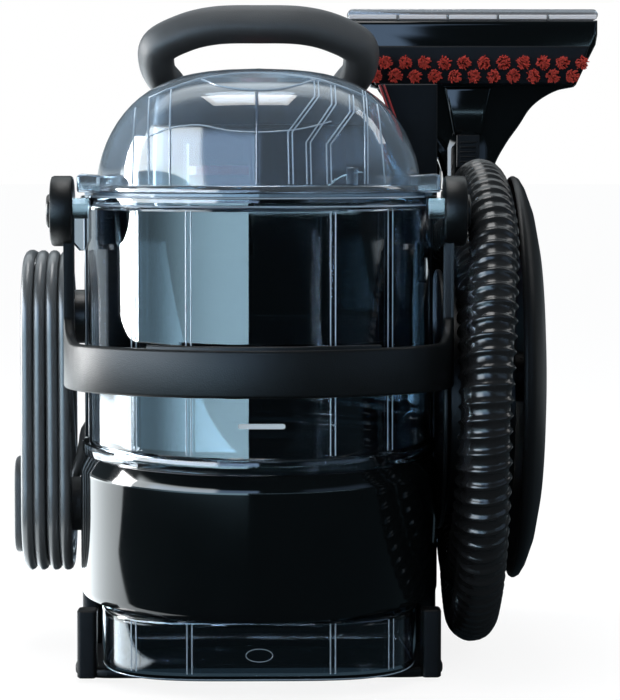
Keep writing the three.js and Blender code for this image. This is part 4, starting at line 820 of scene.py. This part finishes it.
# ---- Base ----
BASE_X, BASE_FRONT, BASE_REAR, SIDE_T = 100.0, -113.0, 170.0, 10.5
TRAY_LOW, TRAY_TOP = 2.0, 7.5
POST_X = (BASE_X - 2 - SIDE_T, BASE_X - 2)
POST_DEPTH = 15.0


def pillar(side):
    """A front post: rounded in plan, with its foot and head slightly chamfered."""
    rings = []
    for z, grow in [(TRAY_LOW, -0.8), (TRAY_LOW + 0.8, 0), (TRAY_TOP, 0), (PLINTH_TOP - 1, 0),
                    (PLINTH_TOP - 0.2, -0.8)]:
        y = (BASE_FRONT - grow, BASE_FRONT + POST_DEPTH + grow)
        rings.append(lifted(rounded((POST_X[0] - grow, POST_X[1] + grow), y, 2.2) * (side, 1), z))
    return loft(rings)


def side_wall(side):
    plan = rounded((BASE_X - SIDE_T, BASE_X), (BASE_FRONT + 83, TOWER_BACK), 3, 4) * (side, 1)
    return loft([lifted(plan, z) for z in (TRAY_LOW + 1, PLINTH_TOP - 0.6, PLINTH_TOP)])


tray = loft(rounded_stack((-BASE_X, BASE_X), (BASE_FRONT, BASE_REAR), (TRAY_LOW, TRAY_TOP), 20, 1.6))
plinth_x = BASE_X - SIDE_T + 1
plinth_z = (TRAY_TOP - 2, PLINTH_TOP)
plinth = loft(rounded_stack((-plinth_x, plinth_x), (TOWER_FRONT, TOWER_BACK), plinth_z, 2, 0.8))
sides = [part(side) for side in (-1, 1) for part in (pillar, side_wall)]
build("base_moulding", joined(tray, plinth, *sides), PLATE, "base", "base_chassis")

# ---- Clean tank ----
CLEAN_X, CLEAN_Y, CLEAN_Z, CLEAN_CORNER = 93.0, (88.0, 168.0), (7.8, 246.0), 30.0
FILLER, FILLER_R, FILLER_CAP_LOW = (-46.0, 128.0), 18.0, CLEAN_Z[1] + 6.3
CLEAN_GRIP = [(-9, 243.5), (-9, 252), (-7, 259.5), (1, 263.7), (12, 264), (34, 264), (45, 263.7), (53, 259.5),
              (55, 252), (55, 243.5)]


def clean_wall():
    """Outside up over the shoulder and neck, then down inside: one skin, open at the filler's mouth."""
    outside = rounded_stack((-CLEAN_X, CLEAN_X), CLEAN_Y, CLEAN_Z, CLEAN_CORNER, 5)
    x, (y, z) = CLEAN_X - WALL, ((low + WALL, high - WALL) for low, high in (CLEAN_Y, CLEAN_Z))
    inside = rounded_stack((-x, x), y, z, CLEAN_CORNER - WALL, 3.4)
    top = CLEAN_Z[1]
    neck = [matched_circle(outside[-1][:, :2], FILLER, FILLER_R + grow, top + z)
            for z, grow in ((0, 1.2), (1.2, 0), (5.5, 0), (6, -0.5))]
    mouth = [matched_circle(inside[-1][:, :2], FILLER, FILLER_R - WALL, top + z) for z in (6, -WALL)]
    return loft(outside + neck + mouth + list(reversed(inside)))


def clean_grip():
    """An upright loop on top of the tank."""
    line = catmull([(x, sum(CLEAN_Y) / 2, z) for x, z in CLEAN_GRIP])
    return bar(line, 8, 16, 0.6, (0, 1, 0))


def knurled_cap(radius, low, high, teeth=36):
    """A screw cap with a fluted side."""
    angle = bearings(teeth * 6)
    flute = 0.5 * (1 + np.cos(angle * teeth))
    way = np.stack([np.cos(angle), np.sin(angle)], 1)
    shape = [(low, 1.2, 0), (low + 0.4, 0.7, 0.6), (high - 0.9, 0.7, 0.6), (high - 0.2, 1, 0), (high, 2.2, 0),
             (high, 5, 0), (high - 0.8, 6, 0)]
    return loft([lifted(FILLER + (radius - inset + depth * flute)[:, None] * way, z)
                 for z, inset, depth in shape])


build("clean_tank_shell", clean_wall(), SMOKE, "clean_tank", "clean_tank")
build("clean_tank_grip", clean_grip(), SMOKE, "clean_tank")
stem_r = FILLER_R - WALL - 0.4
stem = turned([(0, -8), (stem_r, -8), (stem_r, 0.6), (0, 0.6)], (*FILLER, FILLER_CAP_LOW))
bridge = block((FILLER[0] - 12.5, FILLER[0] + 12.5), (FILLER[1] - 2, FILLER[1] + 2),
               (FILLER_CAP_LOW + 4, FILLER_CAP_LOW + 5))
build("clean_cap", joined(knurled_cap(FILLER_R + 2, FILLER_CAP_LOW, FILLER_CAP_LOW + 5), stem, bridge), SATIN,
      "filler_cap", "clean_tank_cap")

# ---- Hose caddy and port ----
DRUM_BACK, DRUM_END, DRUM_R, DRUM_FLANGE = 100.8, 141.0, 66.0, 74.0
PLATE_CROWN, PLATE_Z, PLATE_HALF = 161.0, 157.0, (100.0, 114.5)
PORT_R = 16.0
SCREW = [(0, 0), (6.6, 0), (7, 0.5), (6.2, 1.3), (5, 1.5), (3, 1.5), (2.6, 0.7), (0, 0.7)]


def caddy_drum():
    """A flanged cup on a hub, joined to the tower by two blocks."""
    y, z = CADDY
    end, rim, bore = DRUM_END - DRUM_BACK, DRUM_FLANGE - 0.6, DRUM_R - WALL
    profile = [(0, 0), (rim, 0), (DRUM_FLANGE, 0.6), (DRUM_FLANGE, 2.4), (rim, 3), (DRUM_R + 1.5, 3),
               (DRUM_R, 4.5), (DRUM_R, end), (bore, end), (bore, 3), (12, 3), (12, end), (0, end)]
    arms = [block((TOWER_X + GAP, DRUM_BACK + 1), (TOWER_FRONT + 14, y + reach), (z + low, z + high))
            for reach, low, high in ((52, 6, 38), (22, -38, 8))]
    return joined(turned(profile, (DRUM_BACK, y, z), "x", 72), *arms)


def caddy_plate():
    """A shallow oval dish, thickened to a rolled rim."""
    half, crown, rim = PLATE_HALF[1], PLATE_CROWN, DRUM_END + GAP
    front = [(0, 0), (0.25, 0.3), (0.5, 1.5), (0.7, 3.6), (0.85, 7), (0.95, 11.2), (0.99, 14), (1, 16)]
    back = [(0.95, 15.5), (0.84, 11), (0.7, 8), (0.48, 5)]
    profile = [(half * share, crown - drop) for share, drop in front]
    profile += [(half, rim + 2.4), (half - 0.8, rim + 1.2), (half - 2.2, rim + 1.2), (half - 3, rim + 2.4)]
    profile += [(half * share, crown - drop) for share, drop in back] + [(14, crown - 4), (14, rim), (0, rim)]
    verts, faces = turned(profile, (0, 0, 0), "x", 96)
    return verts * (1, PLATE_HALF[0] / half, 1) + (0, CADDY[0], PLATE_Z), faces


def port():
    """The elbow on the tower that the hose starts from: stub, ball and cuff."""
    start = hose_line[0]
    way = (hose_line[3] - start) / np.linalg.norm(hose_line[3] - start)
    low = start - 20 * way
    line = [low, start - 3 * way, start - 1.5 * way, start - 0.3 * way]
    cuff = tube(line, [PORT_R + 0.5, PORT_R + 0.5, PORT_R, 14.6], 36, (1, 0, 0))
    ball = turned(arc_points((0, 0), PORT_R, -90, 90, 16), low, sides=36)
    base = TOWER_X + GAP
    profile = [(0, base), (PORT_R, base), (PORT_R, base + 1.7), (13, base + 2.7), (13, low[0]), (0, low[0])]
    stub = turned(profile, (0, *low[1:]), "x", 36)
    return joined(cuff, ball, stub)


build("caddy_drum", caddy_drum(), SATIN, "base", "hose_caddy_drum", bevel=0.6)
build("caddy_plate", caddy_plate(), PLATE, "base", "hose_caddy_plate")
screw = turned(SCREW, (PLATE_CROWN + GAP, CADDY[0], PLATE_Z), "x")
build("screw_head", screw, STEEL, "base", "caddy_screw")
build("hose_elbow", port(), SATIN, "base", "hose_port")

# ---- Wand ----
GRIP_LOW, GRIP_TOP, GRIP_R = 166.0, 262.0, 16.5
TIP_R, TIP_TOP, BORE = 11.5, 282.0, 8.5
SLOT_LOW, SLOT_HIGH, SLOT_HALF = GRIP_LOW + 38, GRIP_TOP - 22, 5.3
GRIP_SHAPE = [(GRIP_LOW, 14.5), (GRIP_LOW + 35, 13.5), (GRIP_TOP - 36, 15.5), (GRIP_TOP - 14, 16.5),
              (GRIP_TOP, 15.5)]
GROOVES, GROOVE_PITCH = (GRIP_LOW + 20, GRIP_LOW + 65), 9
PIN_Z, HEEL_Z = GRIP_TOP - 30, GRIP_LOW + 41
LEVER = [(-BORE - 3, PIN_Z + 6), (-GRIP_R - 1, PIN_Z + 5), (-GRIP_R - 4, PIN_Z), (-GRIP_R - 5, PIN_Z - 8),
         (-GRIP_R - 4.6, PIN_Z - 15), (-GRIP_R - 4, HEEL_Z + 3), (-GRIP_R - 1, HEEL_Z),
         (-BORE - 7, HEEL_Z + 2), (-BORE - 3, PIN_Z - 8)]
NOZZLE = [(0, -28.5), (1.2, -28.5), (1.4, -28.2), (2.5, -27.6), (2.5, -24.6), (3.6, -24.4), (4, -23.8),
          (4, -GRIP_R - GAP), (0, -GRIP_R - GAP)]


def cuff_profile():
    """A sleeve with three grooves, closed on itself."""
    profile = [(BORE, 146.3), (15.4, 146.3), (16.4, 147.2), (16.5, 149)]
    for z in (151, 155, 159):
        profile += [(16.4, z), (15.5, z + 0.6), (15.5, z + 1.8), (16.3, z + 2.4)]
    return profile + [(15.6, 164.6), (15, 165.7), (BORE, 165.7), (BORE, 146.3)]


def wand_grip(sides=96):
    """The grip, with a slot for the trigger on its front side and grooves behind."""
    heights = [GRIP_LOW, GRIP_LOW + 0.8, *np.arange(GRIP_LOW + 4, SLOT_LOW, 4), SLOT_LOW - 0.2,
               SLOT_LOW + 0.2, *np.arange(SLOT_LOW + 3, SLOT_HIGH - 1, 3), SLOT_HIGH - 0.2,
               SLOT_HIGH + 0.2, *np.arange(SLOT_HIGH + 3, GRIP_TOP - 1, 3), GRIP_TOP - 0.8, GRIP_TOP]
    c, s = np.cos(bearings(sides)), np.sin(bearings(sides))

    def ring(r, z):
        return lifted(np.stack([WAND[0] + r * c, WAND[1] + r * s], 1), z)

    rings = []
    for z in heights:
        r = np.full(sides, np.interp(z, *zip(*GRIP_SHAPE)))
        if z in (GRIP_LOW, GRIP_TOP):
            r -= 0.8
        if SLOT_LOW < z < SLOT_HIGH:
            r = np.where((s < 0) & (np.abs(r * c) < SLOT_HALF), 10.5, r)
        if GROOVES[0] < z < GROOVES[1]:
            r -= np.where(s > 0.5, 0.4 * (1 + math.cos((z - GRIP_LOW) / GROOVE_PITCH * 2 * math.pi)), 0)
        rings.append(ring(r, z))
    tip = [(TIP_R, GRIP_TOP), (TIP_R, TIP_TOP - 0.8), (TIP_R - 0.8, TIP_TOP), (BORE, TIP_TOP),
           (BORE, GRIP_LOW)]
    return loft(rings + [ring(r, z) for r, z in tip], looped=True)


build("hose_end_cuff", turned(cuff_profile(), (*WAND, 0)), RUBBER, "base", "wand_cuff")
build("wand_grip", wand_grip(), PLATE, "base", "wand_body", sharp=30)
lever = slab([(WAND[1] + y, z) for y, z in LEVER], WAND[0] - 5, WAND[0] + 5, axis=0)
build("trigger", lever, RED, "trigger", "spray_trigger", bevel=0.9)
nozzle = turned(NOZZLE, (*WAND, GRIP_TOP - 8), "y", 28)
build("nozzle", nozzle, WHITE, "base", "spray_nozzle")

# ---- Tool ----
TOOL_X, TOOL_HALF, TOOL_TOP, SHOULDER = 132.5, 77.0, 374.0, 326.0
TOOL_FRONT, TOOL_BACK = 138.0, 160.0
LIP_LOW = TOOL_TOP - 7
LIP_X = (TOOL_X - TOOL_HALF - 0.5, TOOL_X + TOOL_HALF + 0.5)
STRIPS, STRIP_GAP = 5, 0.9
TUFTS, TUFT_PITCH, TUFT_ROWS, TUFT_R, HAIRS = 11, 12.1, (340.8, 332.6), 3.2, 120
NECK = [(16.5, 262.3), (16.8, 276), (24, 290.5), (32.3, 302.3), (39, 312.5), (46, 318.6), (56, 323.8),
        (66.5, SHOULDER)]
COLLAR = [(GRIP_R - 1.2, 262.3), (GRIP_R, 263.4), (GRIP_R, 288), (GRIP_R - 2, 298), (GRIP_R - 8, 306),
          (0, 308), (0, 285), (12, 285), (12, 262.3), (GRIP_R - 1.2, 262.3)]
SPRAY_CHANNEL = [(-9, 296), (9, 296), (15, SHOULDER), (-15, SHOULDER)]
PLATE_SIDE = [(TOOL_HALF - 16.5, 327), (TOOL_HALF - 8.5, 342), (TOOL_HALF - 5.5, 351)]


def tool_side(side, neck):
    """One side of the head from the neck up, over the shoulder to the lip."""
    corner = arc_points((TOOL_HALF - 15.5, SHOULDER + 3), 3, -70, -25, 4)
    edge = [(TOOL_HALF - 6, 342), (TOOL_HALF - 1, 352), (TOOL_HALF, 358), (TOOL_HALF, LIP_LOW)]
    return neck + [(TOOL_X + side * x, z) for x, z in corner + edge]


def tool_outline():
    """The head flares out of its neck into wide shoulders under a straight lip."""
    curve, wide = catmull(NECK), NECK[-1][0]
    reach = 1 + (TOOL_X - TOOL_HALF + 14 - WAND[0]) / wide
    right = tool_side(1, [(WAND[0] + x, z) for x, z in curve])
    left = tool_side(-1, [(WAND[0] + x * ((x / wide) ** 2 * reach - 1), z) for x, z in curve])
    return right + left[::-1]


def moved_in(outline, distance):
    """The outline moved inwards by a distance, corner by corner."""
    a, b = outline - np.roll(outline, 1, axis=0), np.roll(outline, -1, axis=0) - outline
    a /= np.linalg.norm(a, axis=1)[:, None]
    b /= np.linalg.norm(b, axis=1)[:, None]
    normal = np.stack([-(a + b)[:, 1], (a + b)[:, 0]], 1)
    normal /= np.linalg.norm(normal, axis=1)[:, None]
    reach = np.maximum(normal[:, 0] * -a[:, 1] + normal[:, 1] * a[:, 0], 0.4)
    return outline + normal * (distance / reach)[:, None]


def rounded_plate(outline, low, high, edge, steps=4):
    """An XZ outline as a plate from low to high in Y, its edges rounded."""
    outline = np.asarray(outline, float)
    return loft([lifted(moved_in(outline, inset), y, 1) for inset, y in edge_steps(low, high, edge, steps)])


def bristles():
    """Two rows of tufts; each hair splays a little from the middle of its tuft."""
    draw = random.Random(5)
    hairs = []
    for row, z in enumerate(TUFT_ROWS):
        for i in range(TUFTS):
            x = TOOL_X + (i - (TUFTS - 1) / 2) * TUFT_PITCH - row * TUFT_PITCH / 2 + 5.8
            for _ in range(HAIRS):
                r, a = TUFT_R * math.sqrt(draw.random()), draw.uniform(0, 2 * math.pi)
                dx, dz = r * math.cos(a), r * math.sin(a)
                splay = draw.uniform(1.1, 1.5)
                long = draw.uniform(5.6, 7.0)
                tip = (x + dx * splay, TOOL_FRONT - 5 - long, z + dz * splay - 0.4)
                hairs.append(tube([(x + dx, TOOL_FRONT - 4, z + dz), tip], [0.42, 0.34], 5))
    return joined(*hairs)


channel = rounded_plate([(WAND[0] + x, z) for x, z in SPRAY_CHANNEL], TOOL_FRONT - 3.2, TOOL_FRONT + 3, 2.4)
collar = turned(COLLAR, (*WAND, 0), sides=64)
head = joined(rounded_plate(tool_outline(), TOOL_FRONT, TOOL_BACK, 3.2), collar, channel)
build("tool_head", head, GLOSS, "tool", "tool_body", sharp=40)
lip = rounded_plate(rounded(LIP_X, (LIP_LOW + 0.3, TOOL_TOP), 3.2, 6), TOOL_FRONT + 4, TOOL_BACK - 4, 1)
build("tool_lip", lip, LIP, "tool", "tool_window")
ends = np.linspace(*LIP_X, STRIPS + 1)
strip_y, strip_z = (TOOL_FRONT + 3.4, TOOL_FRONT + 4.2), (LIP_LOW + 0.8, LIP_LOW + 3.4)
strips = [block((low + STRIP_GAP, high - STRIP_GAP), strip_y, strip_z) for low, high in zip(ends, ends[1:])]
build("lip_strips", joined(*strips), PALE, "tool", bevel=0.3)
plate_outline = [(TOOL_X + side * x, z) for side in (1, -1) for x, z in PLATE_SIDE[::side]]
build("bristle_plate", rounded_plate(plate_outline, TOOL_FRONT - 4.6, TOOL_FRONT + 1, 1.6), FACE, "tool")
build("bristle_tufts", bristles(), BRISTLE, "tool", "tool_bristles")
latch = [block((WAND[0] - 7, WAND[0] + 7), (WAND[1] - 18.5, WAND[1] - 14.3), (276.3, 296.3))]
latch += [block((WAND[0] - 5, WAND[0] + 5), (WAND[1] - 19.1, WAND[1] - 18), (z, z + 1.2))
          for z in range(279, 294, 3)]
build("latch_button", joined(*latch), PLATE, "latch", "tool_latch", bevel=0.5)

# ---- Wand's cradle ----
CRADLE_Z, CRADLE_END = (232.0, 256.0), 106.6
CRADLE_EDGE = [(73, 326), (78, 312), (83, 298), (87.5, 281), (90, 262)]
PLATE_REAR = TOWER_BACK - 2
CLAW = (GRIP_R + 0.4, GRIP_R + 4.5)


def cradle():
    """A plate beside the tower, a web back to the wand, and a claw round its grip."""
    outline = [(TOWER_X + GAP, CRADLE_Z[0]), (CRADLE_END, CRADLE_Z[0]), (CRADLE_END, SHOULDER),
               *catmull(CRADLE_EDGE, 3), (TOWER_X + GAP, CRADLE_Z[1] + 2)]
    plate = rounded_plate(outline, PLATE_REAR - 8, PLATE_REAR, 1.2, 3)
    web = block((CRADLE_END - 3, CRADLE_END), (PLATE_REAR - 2, WAND[1]), CRADLE_Z)
    link = block((CRADLE_END - 3, WAND[0] - GRIP_R - 1), (WAND[1] - 6, WAND[1]), CRADLE_Z)
    section = [(CLAW[0], CRADLE_Z[0]), (CLAW[1], CRADLE_Z[0]), (CLAW[1], CRADLE_Z[1]), (CLAW[0], CRADLE_Z[1])]
    claw = [[(WAND[0] + r * math.cos(a), WAND[1] + r * math.sin(a), z) for r, z in section]
            for a in np.radians(np.linspace(235, 20, 49))]
    return joined(plate, web, link, loft(claw))


def trim_bar(shift, width, depth, forward):
    """A thin bar down the plate's sloping edge, in front of it."""
    line = catmull([(x + shift, PLATE_REAR - 9, z - 0.5) for x, z in CRADLE_EDGE[:-1]]) - (0, forward, 0)
    return bar(line, width, depth, 0.5, (0, 1, 0), 16)


build("cradle", cradle(), FACE, "base", "wand_cradle", bevel=0.6)
trim = [trim_bar(shift, 1.3, 2.2, 0.9) for shift in (-1.2, 1.4)]
build("red_trim_lines", joined(*trim), RED, "base", "red_trim")
build("trim_groove", trim_bar(0.1, 2.4, 1.2, 0.3), SATIN, "base")

# ---- Cord rack ----
PEG_R = 15.5
HANK_FAR = NEAR_X - 4 * CORD_PITCH
PADDLE = (HANK_FAR - 5.5, HANK_FAR - GAP)


def peg(z, end):
    """A round peg with a flange against the tower."""
    near = -TOWER_X - GAP
    profile = [(0, near), (PEG_R + 6, near), (PEG_R + 6, near - 3.4), (PEG_R + 5.4, near - 4),
               (PEG_R + 1, near - 4), (PEG_R, near - 5), (PEG_R, end + 1.2), (PEG_R - 1.2, end), (0, end)]
    return turned(profile, (0, RACK_Y, z), "x", 64)


def paddle():
    """The wide end of the lower hook, which keeps the hank on."""
    outline = rounded((RACK_Y - 17, RACK_Y + 17), (RACK_BOTTOM - 27.5, RACK_BOTTOM + 27.5), 14, 12)
    low, high = PADDLE
    steps = [(low, 1.8), (low + 0.5, 0.6), (low + 1.6, 0), (high - 1.2, 0), (high, 1)]
    return loft([lifted(moved_in(outline, inset), x, 0) for x, inset in steps])


build("cord_peg", peg(RACK_TOP, HANK_FAR + 1), SATIN, "base", "cord_hook_upper")
lower_hook = joined(peg(RACK_BOTTOM, PADDLE[0] + 2), paddle())
build("cord_paddle", lower_hook, GRIP, "base", "cord_hook_lower")

# ---- Pieces that keep their CAD shape ----
KEPT = {
    RUBBER: ["foot_front_left", "foot_front_right", "foot_rear_left", "foot_rear_right"],
    SEAL: ["lid_gasket"],
    SATIN: ["exhaust_grille", "motor_housing", "fan_housing", "suction_impeller", "air_duct", "suction_duct"],
    WHITE: ["water_pump", "valve_plunger", "valve_cage", "power_switch"],
    STEEL: ["motor_bearing_lower", "motor_bearing_upper", "heater_block", "valve_spring"],
    COPPER: ["motor_rotor"],
    RED: ["red_filter"],
    INNER: ["float_cage", "float_ball"],
}
for mat, names in KEPT.items():
    for name in names:
        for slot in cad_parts[name].material_slots:
            slot.link = "OBJECT"
            slot.material = mat

# ---- Floor, backdrop and light ----
PURE, WARM, COOL, SKY, HAZE = (1, 1, 1), (0.90, 0.97, 1), (0.50, 0.80, 1), (0.44, 0.66, 1), (0.93, 0.96, 1)
DIM = 0.06


def floor_material():
    """Near white to the camera except where the object shades it. To glossy rays alone it glows as a painted
    reflection: white behind a line on the left, pale far in front on the left, and dark near the object. The
    pale part is graded by the direction from the tank's front to each point of the floor."""
    mat = bpy.data.materials.new("floor")
    t = Tree(mat)
    t.nodes.clear()
    place = t.add("NewGeometry", "Position")
    x, y, _ = t.axes(place)
    towards = t.add("VectorMath", "Vector", {0: to_frame(0, TANK_FRONT, 0), 1: place}, operation="SUBTRACT")
    way_x, way_y, _ = t.axes(t.add("VectorMath", "Vector", {0: towards}, operation="NORMALIZE"))
    far = t.maths("ADD", t.product(x, x), t.product(y, y))
    behind = t.maths("MAXIMUM", t.fade(t.slanted(x, 0.28, y), -0.05, -0.03, 0, 1),
                     t.fade(t.slanted(x, 0.81, y), -0.362, -0.350, 0, 1))
    # shaded is a painted dimming of the mirrored white far off, not a cast shadow.
    shaded = t.product(t.fade(far, 2.5, 4.5, 0, 1), t.fade(t.slanted(x, 0.69, y), -0.3, 0.1, 0, 0.95))
    white = t.product(behind, t.fade(x, -0.185, -0.165, 1, 0), t.fade(far, 0.9, 2.2, 4.6, 8),
                      t.maths("SUBTRACT", 1, shaded))
    rear_right = t.product(t.fade(y, 0.8, 1.6, 0, 0.6), t.fade(x, -0.03, 0, 0, 1))
    pale = t.product(t.maths("SUBTRACT", 1, behind), t.fade(way_x, 0.15, 0.165, 0, 1),
                     t.fade(far, 1.45, 1.65, 0, 1), t.fade(way_y, -0.1, 0.98, 1.2, 11))
    sheen = t.both(t.glow("Emission", COOL, t.maths("ADD", pale, DIM)),
                   t.glow("Emission", WARM, t.maths("ADD", white, rear_right)))
    dull, bright = (t.add("BsdfDiffuse", "BSDF", {"Color": (grey, grey, grey, 1)}) for grey in (0.25, 0.8))
    path = t.add("LightPath", None).outputs
    other = t.mix(path["Is Glossy Ray"], dull, sheen)
    seen = t.mix(0.85, bright, t.glow("Emission", PURE, 1.03))
    t.add("OutputMaterial", None, {"Surface": t.mix(path["Is Camera Ray"], other, seen)})
    return mat


def world_light():
    """A white surround. To glossy rays alone it shows painted reflections: a big soft panel on the left, a grey
    one in front on the left, white floor behind on the left, and dark elsewhere; clear walls let white through
    from behind."""
    world = bpy.data.worlds.new("studio")
    bpy.context.scene.world = world
    t = Tree(world)
    t.nodes.clear()
    x, y, z = t.axes(t.add("TexCoord", "Generated"))
    behind = t.fade(t.slanted(x, 0.28, y), 0, 0.015, 0, 1)
    ahead = t.maths("SUBTRACT", 1, behind)
    rear_white = t.product(behind, t.fade(x, 0, 0.06, 1, 0), t.fade(z, 0.01, 0.05, 6, 0.35),
                           t.fade(y, 0.57, 0.62, 1, 0.12))
    front_grey = t.product(ahead, t.fade(z, 0.01, 0.05, 1, 0), t.fade(x, -0.165, -0.15, 1, 0),
                           t.fade(y, -0.98, 0.1, 11, 1.2))
    upper_blue = t.product(t.fade(y, -0.1, 0.1, 1, 0), t.fade(z, 0.01, 0.05, 0, 7), t.fade(z, 0.2, 0.4, 1, 0),
                           t.maths("ADD", t.fade(x, -0.03, 0.02, 1, 0), t.fade(x, 0.5, 0.7, 0, 0.15)))
    top_white = t.product(t.fade(z, 0.5, 0.62, 0, 1.8), t.fade(y, 0.2, 0.5, 0, 1))
    rim_glow = t.product(t.fade(y, -0.3, 0, 1, 0), t.fade(z, -0.017, -0.0155, 0, 1),
                         t.fade(z, -0.0095, -0.0075, 12, 0), t.fade(x, -0.165, -0.15, 0, 1))
    softbox = t.product(t.fade(x, -0.60, -0.50, 1, 0), t.fade(y, 0.2, 0.3, 1, 0),
                        t.fade(y, -0.86, -0.78, 0, 1), t.fade(z, -0.012, 0.002, 0, 1),
                        t.fade(z, 0.34, 0.42, 12, 0))
    through = t.product(t.fade(y, -0.1, 0, 0.02, 1), t.fade(z, 0, 0.024, 0.18, 0.95),
                        t.fade(x, 0.02, 0.045, 1, 0.2), t.fade(x, -0.045, -0.032, 0.22, 1))
    sheen = t.both(t.glow("Background", COOL, t.maths("ADD", front_grey, rim_glow, DIM)),
                   t.glow("Background", SKY, upper_blue))
    sheen = t.both(sheen, t.glow("Background", WARM, t.maths("ADD", rear_white, softbox, top_white)))
    path = t.add("LightPath", None).outputs
    other = t.mix(path["Is Glossy Ray"], t.glow("Background", HAZE, 0.9), sheen)
    unseen = t.mix(path["Is Transmission Ray"], other, t.glow("Background", PURE, through))
    t.add("OutputWorld", None, {"Surface": t.mix(path["Is Camera Ray"], unseen, t.glow("Background", PURE))})


def lamp(name, place, aim, size, energy):
    """A white area lamp at a place of the drawing, turned towards another."""
    data = bpy.data.lights.new(name, "AREA")
    data.shape = "RECTANGLE"
    data.size, data.size_y = size[0] / 1000, size[1] / 1000
    data.energy = energy
    obj = add_object(name, data)
    obj.location = to_frame(*place)
    obj.rotation_mode = "QUATERNION"
    obj.rotation_quaternion = (to_frame(*aim) - obj.location).to_track_quat("-Z", "Y")


corners = [(-9000, -1400, 0), (9000, -1400, 0), (9000, 40000, 0), (-9000, 40000, 0)]
sheet = bpy.data.meshes.new("floor")
sheet.from_pydata(placed(corners).tolist(), [], [(0, 1, 2, 3)])
sheet.materials.append(floor_material())
add_object("floor", sheet)
world_light()
lamp("card_rear_left", (-1900, 650, 350), (-100, 0, 200), (600, 900), 70)
lamp("overhead", (-100, 0, 1600), (0, 0, 200), (900, 600), 14)
lamp("rim_right", (1300, 500, 900), (60, 0, 200), (300, 700), 2)
